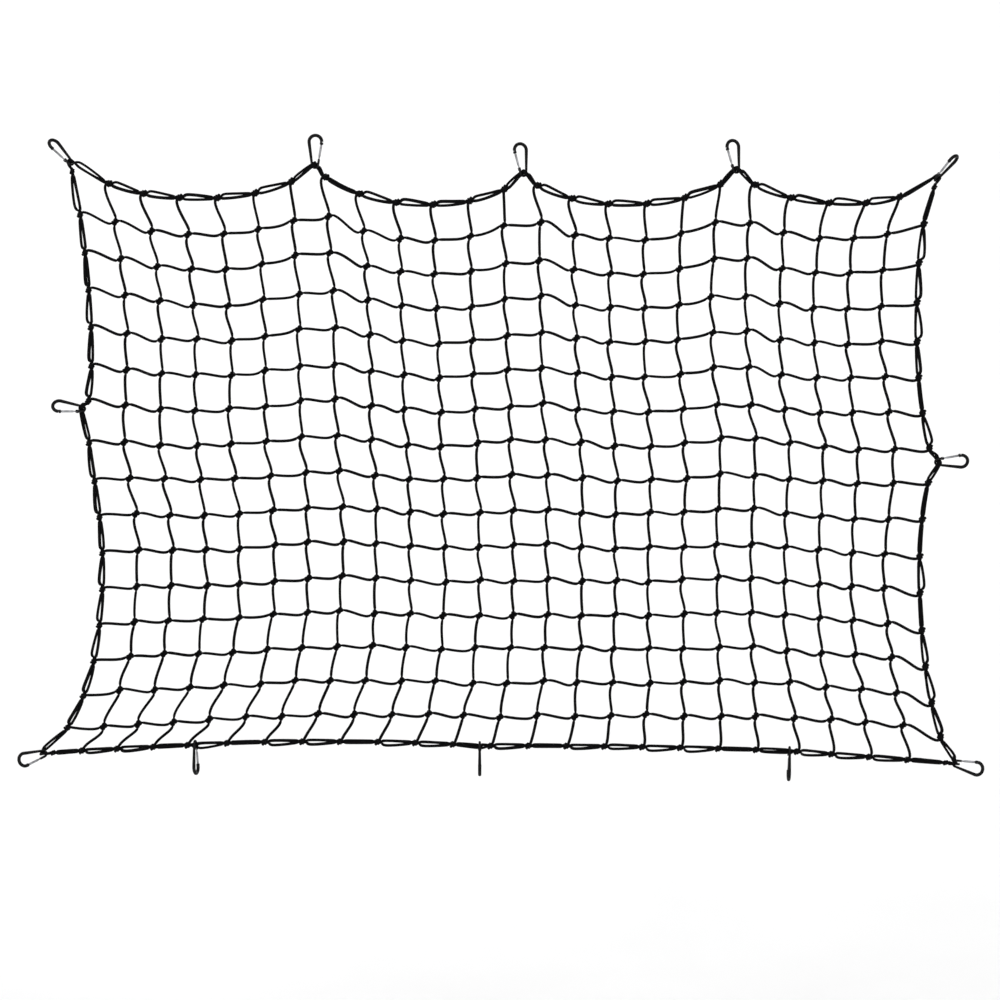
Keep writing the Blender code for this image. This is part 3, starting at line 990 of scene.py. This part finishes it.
    def climb(self, side: Side, index: int) -> np.ndarray:
        """Return one cord's run, up and left from its hitch on the bottom or right edge.

        Args:
            side: Side that it starts from.
            index: Column or row that it starts at.

        Returns:
            Rows of x, y, z and radius.
        """
        hitch, handle = self.hitch(self.edge.hitch_frame(side, 2 * index), self.FULLNESS[side])
        stops = hitch[::-1]
        upward = side is Side.BOTTOM
        column = index if upward else self.lattice.columns - 1
        line = self.lattice.rows - 1 if upward else index
        while True:
            bight = self.bight(column, line, mirrored=upward)
            leg, into = self.leg(column, line, "down" if upward else "right")
            stops += self.link(Vector(stops[-1][:3]), handle, leg, into)
            stops += bight[::-1]
            out, handle = self.leg(column, line, "left" if upward else "up")
            if upward:
                column -= 1
            else:
                line -= 1
            upward = not upward
            if column == 0 or line == 0:
                break
        end_side, end_index = (Side.LEFT, line) if column == 0 else (Side.TOP, column)
        hitch, into = self.hitch(self.edge.hitch_frame(end_side, 2 * end_index),
                                 self.FULLNESS[end_side])
        stops += self.link(out, handle, Vector(hitch[0][:3]), into) + hitch
        return smoothed(np.array(stops), self.steps)

    def tie(self, name: str) -> np.ndarray:
        """Return the run of the short cord tied round the edge beside a corner hook."""
        stops, _ = self.hitch(self.edge.tie_frame(name), self.tie_size)
        return smoothed(np.array(stops), self.steps)


# ---- Snap hooks ----------------------------------------------------------------------------------
@dataclass
class SnapHook:
    """A snap hook: bent bar with its nose, ears and rivet, and the gate that turns on the rivet."""

    place: HookPlace
    wide_steps: int = 22
    narrow_steps: int = 14
    nose_taper: float = 0.0016     # from the swollen nose to the coated bar
    arm_stops: int = 5
    arm_start: float = 0.003       # past the knuckle, where the gate's arm has its full thickness
    arm_run: float = 0.024
    rivet_head: float = 0.00155
    rivet_height: float = 0.0007
    ear_round: float = 0.85        # of an ear's half width
    chamfer: float = 0.0003
    sharp_angle: float = 50.0      # degrees
    ear_segments: int = 5
    pin_segments: int = 12
    head_segments: tuple[int, int] = (14, 8)      # round and up
    knuckle_segments: int = 20
    body_resolution: int = 4
    arm_resolution: int = 3

    # Distance along the bar from the nose's tip, and thickness against the swollen nose.
    NOSE = ((0.0, 0.72), (0.0004, 0.93), (0.0011, 1.0), (HOOK.nose_run, 1.0))
    # Distance back from the lug's end, and thickness against the bar.
    LUG = ((0.0006, 1.0), (0.0002, 0.9), (0.0, 0.7))
    # The gate's arm beside its knuckle, and back from its tip: distance and thickness.
    ARM_ROOT = ((HOOK.bore + CORD.clearance, 0.8), (HOOK.knuckle, 0.94),
                (HOOK.knuckle + 0.0020, 1.0))
    ARM_TIP = ((0.0012, 1.0), (0.0004, 0.86), (0.0, 0.55))

    def pear(self) -> tuple[float, float]:
        """Return the distance between the two bends' centres and the lean of the sides."""
        centre = HOOK.length - 2 * HOOK.bar - HOOK.narrow - HOOK.wide
        return centre, math.asin((HOOK.wide - HOOK.narrow) / centre)

    def gate_line(self) -> tuple[Vector, Vector]:
        """Return the pivot and the direction of the gate's side of the pear.

        Returns:
            A point and a unit vector, in the hook's own frame.
        """
        _, lean = self.pear()
        start = Vector((-math.sin(lean), math.cos(lean), 0)) * HOOK.narrow
        along = Vector((math.cos(lean), math.sin(lean), 0))
        return start + along * HOOK.hinge_run, along

    def pivot(self) -> Matrix:
        """Return the frame of the gate's pivot: X along the gate, Z along the pin.

        Returns:
            A matrix from the gate's frame to the hook's.
        """
        pivot, along = self.gate_line()
        across = Vector((0, 0, 1)).cross(along)
        turned = Matrix((along, across, Vector((0, 0, 1)))).transposed().to_4x4()
        return Matrix.Translation(pivot) @ turned

    def bar_run(self) -> np.ndarray:
        """Return the bar's run, from the nose round the wide end and the spine to the lug.

        Returns:
            Rows of x, y, z and radius, in the hook's own frame.
        """
        centre, lean = self.pear()
        pivot, along = self.gate_line()
        side = math.pi / 2 + lean
        nose = pivot + along * (HOOK.gate_length + CORD.clearance)
        swollen = HOOK.bar * HOOK.nose_swell
        stops = [row(nose + along * way, swollen * thickness) for way, thickness in self.NOSE]
        stops.append(row(nose + along * (HOOK.nose_run + self.nose_taper), HOOK.bar * HOOK.coated))
        for step in range(self.wide_steps + 1):
            angle = side * (1 - 2 * step / self.wide_steps)
            stops.append(row(Vector((centre + HOOK.wide * math.cos(angle),
                                     HOOK.wide * math.sin(angle), 0)),
                             HOOK.bar * HOOK.coated))
        for step in range(self.narrow_steps + 1):
            angle = -side - (2 * math.pi - 2 * side) * step / self.narrow_steps
            stops.append(row(Vector((math.cos(angle), math.sin(angle), 0)) * HOOK.narrow, HOOK.bar))
        end = pivot - along * (HOOK.knuckle + CORD.clearance)
        stops += [row(end - along * back, HOOK.bar * thickness) for back, thickness in self.LUG]
        return np.array(stops)

    def body(self, material: Material) -> Piece:
        """Make the bar with its ears and the rivet's heads.

        Args:
            material: Finish of the body.

        Returns:
            The piece, in the hook's place.
        """
        bar = CordMesh("hook_body_" + self.place.name, self.body_resolution)
        bar.add(self.bar_run())
        cage = bar.cage
        bmesh.ops.remove_doubles(cage, verts=cage.verts, dist=MERGE)
        pivot = self.pivot()
        reach = HOOK.knuckle + CORD.clearance + HOOK.ear_root
        length = reach + HOOK.ear_half_width
        height = HOOK.knuckle_half + CORD.clearance + HOOK.ear_thickness / 2
        for side in (-1, 1):
            middle = Vector((HOOK.ear_half_width - length / 2, 0, side * height))
            place = pivot @ Matrix.Translation(middle)
            size = Matrix.Diagonal((length, 2 * HOOK.ear_half_width, HOOK.ear_thickness, 1.0))
            ear = bmesh.ops.create_cube(cage, size=1.0, matrix=place @ size)["verts"]
            self._round_ear(cage, ear, pivot)
            head = pivot @ Matrix.Translation((0, 0, side * (height + HOOK.ear_thickness / 2)))
            flat = Matrix.Diagonal((self.rivet_head, self.rivet_head, self.rivet_height, 1.0))
            bmesh.ops.create_uvsphere(cage, u_segments=self.head_segments[0],
                                      v_segments=self.head_segments[1], radius=1.0,
                                      matrix=head @ flat)
        bmesh.ops.create_cone(cage, cap_ends=True, segments=self.pin_segments,
                              radius1=HOOK.pin, radius2=HOOK.pin, depth=2 * height, matrix=pivot)
        bmesh.ops.transform(cage, matrix=self.place.matrix(), verts=cage.verts)
        return new_piece(bar.name, cage, material, self.sharp_angle)

    def _round_ear(self, cage: Cage, ear: list[bmesh.types.BMVert],
                   pivot: Matrix) -> None:
        """Round an ear's free corners.

        Args:
            cage: The body's mesh.
            ear: Vertices of the ear.
            pivot: Frame of the gate's pivot.
        """
        inverse = pivot.inverted()
        upright = {edge for vert in ear for edge in vert.link_edges
                   if all((inverse @ end.co).x > 0 for end in edge.verts)
                   and abs((inverse.to_3x3() @ (edge.verts[0].co - edge.verts[1].co)).z) > 1e-4}
        bmesh.ops.bevel(cage, geom=list(upright), offset=HOOK.ear_half_width * self.ear_round,
                        segments=self.ear_segments, profile=0.5, affect="EDGES", material=-1)

    def gate(self, material: Material) -> Piece:
        """Make the gate: an arm with a rounded tip and a bored knuckle.

        Args:
            material: Finish of the gate.

        Returns:
            The piece, in the gate's place when shut.
        """
        stops = [(way, 0, 0, HOOK.gate * thickness) for way, thickness in self.ARM_ROOT]
        for step in range(1, self.arm_stops + 1):
            way = HOOK.knuckle + self.arm_start + step / (self.arm_stops + 1) * self.arm_run
            stops.append((way, 0, 0, HOOK.gate_middle))
        stops += [(HOOK.gate_length - back, 0, 0, HOOK.gate_middle * thickness)
                  for back, thickness in self.ARM_TIP]
        arm = CordMesh("gate_arm_" + self.place.name, self.arm_resolution)
        arm.add(np.array(stops))
        cage = arm.cage
        bmesh.ops.remove_doubles(cage, verts=cage.verts, dist=MERGE)
        self._knuckle(cage)
        bmesh.ops.transform(cage, matrix=self.place.matrix() @ self.pivot(), verts=cage.verts)
        return new_piece(arm.name, cage, material, self.sharp_angle)

    def _knuckle(self, cage: Cage) -> None:
        """Spin the gate's bored knuckle from its section.

        Args:
            cage: The gate's mesh.
        """
        lower = ((HOOK.bore, -HOOK.knuckle_half), (HOOK.knuckle - self.chamfer, -HOOK.knuckle_half),
                 (HOOK.knuckle, self.chamfer - HOOK.knuckle_half))
        section = lower + tuple((radius, -height) for radius, height in reversed(lower))
        verts = [cage.verts.new((radius, 0.0, height)) for radius, height in section]
        edges = [cage.edges.new((a, b)) for a, b in zip(verts, verts[1:] + verts[:1])]
        bmesh.ops.spin(cage, geom=verts + edges, cent=(0, 0, 0), axis=(0, 0, 1), dvec=(0, 0, 0),
                       angle=2 * math.pi, steps=self.knuckle_segments, use_merge=True,
                       use_duplicate=False)
        front = [face for vert in verts for face in vert.link_faces]
        shell = set(front)
        while front:
            beside = {other for edge in front.pop().edges for other in edge.link_faces} - shell
            shell |= beside
            front += beside
        bmesh.ops.recalc_face_normals(cage, faces=list(shell))


# ---- Finishes ------------------------------------------------------------------------------------
def new_material(name: str) -> tuple[Material, Tree, Node]:
    """Return a new material with its nodes and its shader.

    Args:
        name: Name of the material.

    Returns:
        The material, its node tree and its shader.
    """
    material = bpy.data.materials.new(name)
    material.use_nodes = True
    return material, material.node_tree, material.node_tree.nodes["Principled BSDF"]


def shader_group(name: str, inputs: dict[str, float], outputs: tuple[str, ...]
                 ) -> tuple[Tree, Node, Node]:
    """Start a shader node group.

    Args:
        name: Name of the group.
        inputs: Names and values of its number inputs.
        outputs: Names of its number outputs.

    Returns:
        The group with its input and output nodes.
    """
    group = bpy.data.node_groups.new(name, "ShaderNodeTree")
    for label, value in inputs.items():
        socket = group.interface.new_socket(label, in_out="INPUT", socket_type="NodeSocketFloat")
        socket.default_value = value
    for label in outputs:
        group.interface.new_socket(label, in_out="OUTPUT", socket_type="NodeSocketFloat")
    return group, group.nodes.new("NodeGroupInput"), group.nodes.new("NodeGroupOutput")


def feed(tree: Tree, node: Node, values: dict[str | int, object]) -> None:
    """Give a node's inputs their values.

    Args:
        tree: Tree that the node is in.
        node: The node.
        values: For each input, by name or number: a value, or the socket that drives it.
    """
    for label, value in values.items():
        if isinstance(value, Socket):
            tree.links.new(value, node.inputs[label])
        else:
            node.inputs[label].default_value = value


def add_node(tree: Tree, kind: str, values: dict[str | int, object], output: str | int) -> Socket:
    """Add a shader node.

    Args:
        tree: Tree to add it to.
        kind: Its type, without the prefix that all shader nodes have.
        values: Values or sockets for its inputs, by name or number.
        output: Name or number of the output that is used.

    Returns:
        That output.
    """
    node = tree.nodes.new("ShaderNode" + kind)
    feed(tree, node, values)
    return node.outputs[output]


def math_node(tree: Tree, operation: str, *values: object) -> Socket:
    """Add a Math node.

    Args:
        tree: Tree to add it to.
        operation: Its operation.
        values: Sockets or numbers that it works on.

    Returns:
        The node's output.
    """
    result = add_node(tree, "Math", dict(enumerate(values)), 0)
    result.node.operation = operation
    return result


def noise(tree: Tree, scale: object, detail: float, vector: Socket) -> Socket:
    """Add a noise texture and return its value."""
    return add_node(tree, "TexNoise", {"Scale": scale, "Detail": detail, "Vector": vector}, "Fac")


def colour_ramp(tree: Tree, value: Socket, stops: tuple[tuple[float, Colour], ...]) -> Socket:
    """Add a colour ramp.

    Args:
        tree: Tree to add it to.
        value: What picks a place on it.
        stops: Places and colours.

    Returns:
        Its colour.
    """
    result = add_node(tree, "ValToRGB", {"Fac": value}, "Color")
    for element, (place, colour) in zip(result.node.color_ramp.elements, stops, strict=True):
        element.position = place
        element.color = (*colour, 1.0)
    return result


def as_range(tree: Tree, value: Socket, low: float, high: float) -> Socket:
    """Spread a value from 0 and 1 over a range, and return it."""
    return add_node(tree, "MapRange", {"Value": value, "To Min": low, "To Max": high}, "Result")


def bump(tree: Tree, height: Socket, distance: float, strength: float) -> Socket:
    """Add a Bump node and return its normal."""
    return add_node(tree, "Bump", {"Height": height, "Distance": distance, "Strength": strength},
                    "Normal")


def braid_group() -> Tree:
    """Build the group of a braided sheath's weave, from UVs of turns and metres.

    Returns:
        The group, which gives the weave's height and which lay is on top.
    """
    group, given, result = shader_group("braid", {"Strands": 8.0, "Pitch": 0.0018},
                                        ("Height", "Lay"))
    place = add_node(group, "UVMap", {}, "UV")
    turns = add_node(group, "SeparateXYZ", {"Vector": place}, "X")
    metres = turns.node.outputs["Y"]
    round_cord = math_node(group, "MULTIPLY", turns, given.outputs["Strands"])
    down_cord = math_node(group, "DIVIDE", metres, given.outputs["Pitch"])
    right = math_node(group, "ADD", round_cord, down_cord)
    left = math_node(group, "SUBTRACT", round_cord, down_cord)
    ridge = []
    for lay in (right, left):
        wave = math_node(group, "SINE", math_node(group, "MULTIPLY", lay, math.pi))
        ridge.append(math_node(group, "ABSOLUTE", wave))
    floors = math_node(group, "ADD", math_node(group, "FLOOR", right),
                       math_node(group, "FLOOR", left))
    over = math_node(group, "PINGPONG", floors, 1.0)
    upper = math_node(group, "MULTIPLY", ridge[0], over)
    lower = math_node(group, "MULTIPLY", ridge[1], math_node(group, "SUBTRACT", 1.0, over))
    feed(group, result, {"Height": math_node(group, "ADD", upper, lower), "Lay": over})
    return group


def wear_group() -> Tree:
    """Build the group of wear along edges and scuffs in patches, from the object's own place.

    Returns:
        The group, which gives a mask of the wear and a fine grain.
    """
    patch_scale, patches_from, sharp_from, sharp_gain = 130.0, 0.62, 0.52, 9.0
    group, given, result = shader_group("wear", {"Amount": 0.5, "Grain": 900.0}, ("Mask", "Grain"))
    place = add_node(group, "TexCoord", {}, "Object")
    patches = noise(group, patch_scale, 3.0, place)
    fine = noise(group, given.outputs["Grain"], 2.0, place)
    sharp = add_node(group, "NewGeometry", {}, "Pointiness")
    edge = math_node(group, "MULTIPLY", math_node(group, "SUBTRACT", sharp, sharp_from), sharp_gain)
    scuffed = math_node(group, "ADD", edge, math_node(group, "SUBTRACT", patches, patches_from))
    amount = math_node(group, "MULTIPLY", scuffed, given.outputs["Amount"])
    mask = math_node(group, "MINIMUM", math_node(group, "MAXIMUM", amount, 0.0), 1.0)
    feed(group, result, {"Mask": mask, "Grain": fine})
    return group


def place_group(tree: Tree, group: Tree, values: dict[str, float]) -> Node:
    """Place a node group in a material.

    Args:
        tree: The material's tree.
        group: The group.
        values: The material's own values for the group's inputs.

    Returns:
        The group's node.
    """
    node = tree.nodes.new("ShaderNodeGroup")
    node.node_tree = group
    feed(tree, node, values)
    return node


@dataclass(frozen=True)
class BraidedCord:
    """Black elastic cord in a braided polyester sheath."""

    name: str = "braided_cord"
    strands: float = 8.0
    pitch: float = 0.0018
    # Colour of the weave's grooves: painted shade, darker than the ridges' colour below
    deep: Colour = (0.0006, 0.0006, 0.0007)
    raised: Colour = (0.0035, 0.0035, 0.0040)
    roughness: tuple[float, float] = (0.66, 0.86)
    relief: float = 0.00022
    strength: float = 0.8
    wear: float = 0.35
    grain: float = 1500.0
    painted_groove_shade: float = 0.75      # how much paler the weave's ridges are than its grooves, which hold painted shade
    wear_shade: float = 0.5
    specular: float = 0.045
    sheen: tuple[float, float] = (0.006, 0.40)    # weight and roughness

    def make(self, braid: Tree, wear: Tree) -> Material:
        """Make the material.

        Args:
            braid: Group of the sheath's weave.
            wear: Group of the wear.

        Returns:
            The material.
        """
        material, tree, shader = new_material(self.name)
        weave = place_group(tree, braid, {"Strands": self.strands, "Pitch": self.pitch})
        rubbed = place_group(tree, wear, {"Amount": self.wear, "Grain": self.grain})
        height = weave.outputs["Height"]
        # Painted shade: the colour darkens into the weave's grooves with its height, and pales where
        # the cord is worn
        groove_shade_and_wear = math_node(tree, "MULTIPLY_ADD", height, self.painted_groove_shade,
                          math_node(tree, "MULTIPLY", rubbed.outputs["Mask"], self.wear_shade))
        feed(tree, shader, {
            "Base Color": colour_ramp(tree, groove_shade_and_wear, ((0.0, self.deep), (1.0, self.raised))),
            "Roughness": as_range(tree, rubbed.outputs["Grain"], *self.roughness),
            "Specular IOR Level": self.specular,
            "Sheen Weight": self.sheen[0],
            "Sheen Roughness": self.sheen[1],
            "Normal": bump(tree, height, self.relief, self.strength),
        })
        return material


@dataclass(frozen=True)
class Steel:
    """A steel's finish, and what shows where it is rubbed or dull."""

    name: str
    sound: Colour
    rubbed: Colour
    ramp: tuple[float, float]      # how much wear shows the one and the other
    roughness: tuple[float, float]
    wear: float
    grain: float
    relief: float
    strength: float
    specular: float
    metallic: float

    def make(self, wear: Tree) -> Material:
        """Make the material.

        Args:
            wear: Group of the wear.

        Returns:
            The material.
        """
        material, tree, shader = new_material(self.name)
        rubbed = place_group(tree, wear, {"Amount": self.wear, "Grain": self.grain})
        mask, grain = rubbed.outputs["Mask"], rubbed.outputs["Grain"]
        colours = tuple(zip(self.ramp, (self.sound, self.rubbed)))
        feed(tree, shader, {
            "Base Color": colour_ramp(tree, mask, colours),
            "Roughness": as_range(tree, grain, *self.roughness),
            "Specular IOR Level": self.specular,
            "Metallic": self.metallic,
            "Normal": bump(tree, grain, self.relief, self.strength),
        })
        return material


# Black satin coating, scuffed to grey where it rubs, and plating with dull patches.
COATED_STEEL = Steel("coated_steel", sound=(0.0020, 0.0020, 0.0022), rubbed=(0.016, 0.016, 0.017),
                     ramp=(0.05, 0.7), roughness=(0.40, 0.56), wear=0.9, grain=1100.0,
                     relief=0.00008, strength=0.35, specular=0.08, metallic=0.0)
BARE_STEEL = Steel("bare_steel", sound=(0.34, 0.345, 0.36), rubbed=(0.13, 0.13, 0.135),
                   ramp=(0.0, 0.8), roughness=(0.24, 0.42), wear=1.6, grain=1900.0,
                   relief=0.00006, strength=0.3, specular=0.5, metallic=1.0)


# ---- Setting -------------------------------------------------------------------------------------
@dataclass
class Studio:
    """A pale cove, plain soft light and the camera."""

    centre: tuple[float, float] = (-0.0418, -0.7526)
    view_width: float = 2.12
    distance: float = 7.0
    farthest: float = 60.0         # that the camera sees
    floor: float = -2.05
    back: float = 2.6
    front: float = -9.0
    height: float = 9.0
    half_width: float = 10.0
    bend: float = 1.2
    bend_steps: int = 12
    roughness: float = 0.9
    cloud_scale: float = 2.0
    glow: float = 0.86             # strength of the light from all round

    # The soft lights: place, size and power.
    LIGHTS = {"key": ((-2.2, -3.6, 1.9), 2.2, 100.0), "fill": ((2.8, -3.0, 0.4), 2.6, 42.0)}
    # The cove's two pale greys, and where its clouds turn from the one to the other.
    CLOUDS = ((0.3, (0.90, 0.90, 0.90)), (0.7, (0.93, 0.93, 0.93)))

    def camera(self) -> None:
        """Place the camera square to the net."""
        lens = bpy.data.cameras.new("camera")
        lens.lens = lens.sensor_width * self.distance / self.view_width
        lens.clip_end = self.farthest
        view = bpy.data.objects.new("camera", lens)
        view.location = (self.centre[0], -self.distance, self.centre[1])
        view.rotation_euler = (math.pi / 2, 0, 0)
        bpy.context.scene.collection.objects.link(view)
        bpy.context.scene.camera = view

    def cove(self) -> None:
        """Make the floor and the wall behind as one bent sheet."""
        cage = bmesh.new()
        section = [(self.front, self.floor), (self.back - self.bend, self.floor)]
        for step in range(1, self.bend_steps + 1):
            angle = math.pi / 2 * step / self.bend_steps
            section.append((self.back - self.bend + self.bend * math.sin(angle),
                            self.floor + self.bend - self.bend * math.cos(angle)))
        section.append((self.back, self.floor + self.height))
        verts = [cage.verts.new((-self.half_width, *point)) for point in section]
        edges = [cage.edges.new(pair) for pair in zip(verts, verts[1:])]
        made = bmesh.ops.extrude_edge_only(cage, edges=edges)["geom"]
        moved = [item for item in made if isinstance(item, bmesh.types.BMVert)]
        bmesh.ops.translate(cage, verts=moved, vec=(2 * self.half_width, 0, 0))
        bmesh.ops.recalc_face_normals(cage, faces=cage.faces)
        cage.normal_update()
        if sum(face.normal.z - face.normal.y for face in cage.faces) < 0:
            bmesh.ops.reverse_faces(cage, faces=cage.faces)
        material, tree, shader = new_material("pale_cove")
        clouds = noise(tree, self.cloud_scale, 2.0, add_node(tree, "TexCoord", {}, "Object"))
        feed(tree, shader, {"Base Color": colour_ramp(tree, clouds, self.CLOUDS),
                            "Roughness": self.roughness})
        self._clear_from_behind(tree, shader)
        new_piece("cove", cage, material)

    @staticmethod
    def _clear_from_behind(tree: Tree, shader: Node) -> None:
        """Let a camera behind the cove see through it, so that the net shows from every side.

        Args:
            tree: The cove's node tree.
            shader: Its shader.
        """
        behind = add_node(tree, "NewGeometry", {}, "Backfacing")
        seen = add_node(tree, "LightPath", {}, "Is Camera Ray")
        clear = add_node(tree, "BsdfTransparent", {}, "BSDF")
        mixed = add_node(tree, "MixShader", {"Fac": math_node(tree, "MULTIPLY", behind, seen),
                                             1: shader.outputs["BSDF"], 2: clear}, "Shader")
        feed(tree, tree.nodes["Material Output"], {"Surface": mixed})

    def lights(self) -> None:
        """Light the net softly from the front, and everything evenly from all round."""
        world = bpy.data.worlds.new("studio")
        world.use_nodes = True
        tree = world.node_tree
        feed(tree, tree.nodes["Background"], {"Color": (1, 1, 1, 1), "Strength": self.glow})
        bpy.context.scene.world = world
        for name, (place, size, power) in self.LIGHTS.items():
            light = bpy.data.lights.new(name, "AREA")
            light.size = size
            light.energy = power
            lamp = bpy.data.objects.new(name, light)
            lamp.location = place
            aim = Vector((self.centre[0], 0.0, self.centre[1])) - Vector(place)
            lamp.rotation_euler = aim.to_track_quat("-Z", "Y").to_euler()
            bpy.context.scene.collection.objects.link(lamp)
        bpy.context.scene.view_settings.view_transform = "Standard"


# ---- The whole net -------------------------------------------------------------------------------
def settle_piece(piece: Piece, body: str, slot: str, *nodes: str) -> None:
    """Let a piece ride on a body and put it in the place of solids.

    Args:
        piece: The piece.
        body: Node that it moves with.
        slot: Its slot; not used.
        nodes: Nodes that it replaces.
    """
    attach(piece, body)
    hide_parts(*nodes)


def main() -> None:
    """Build the net and its setting."""
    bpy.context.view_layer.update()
    studio = Studio()
    studio.camera()
    studio.cove()
    studio.lights()
    braid, wear = braid_group(), wear_group()
    cord = BraidedCord().make(braid, wear)
    coated, bare = COATED_STEEL.make(wear), BARE_STEEL.make(wear)

    lattice = Lattice()
    edge = Edge(lattice)
    net = NetCords(lattice, edge)
    starts = [(Side.BOTTOM, column) for column in range(1, lattice.columns)]
    starts += [(Side.RIGHT, line) for line in range(lattice.rows - 1, 0, -1)]
    shares = 3
    for share in range(shares):
        cords = CordMesh(f"net_cords_{share + 1}", resolution=1)
        for side, index in starts[share::shares]:
            cords.add(net.climb(side, index))
        for name in list(edge.TIES)[share::shares]:
            cords.add(net.tie(name))
        settle_piece(cords.finish(cord), "net", "cord", "net")

    names = (("edge_strand", "cord", "net"), ("perimeter_cord_1", "border", "border_cord"),
             ("perimeter_cord_2", "border", "border_cord"))
    for (name, slot, node), run in zip(names, edge.runs()):
        tube = CordMesh(name, resolution=2)
        tube.add(run, closed=True)
        settle_piece(tube.finish(cord), "net", slot, node)

    for name, place in HOOK_PLACES.items():
        hook = SnapHook(place)
        settle_piece(hook.body(coated), "net", "hook", "hook_" + name)
        settle_piece(hook.gate(bare), "gate_" + name, "gate", "gate_" + name)


if __name__ == "__main__":
    logging.basicConfig(level=logging.INFO, format="%(message)s")
    main()
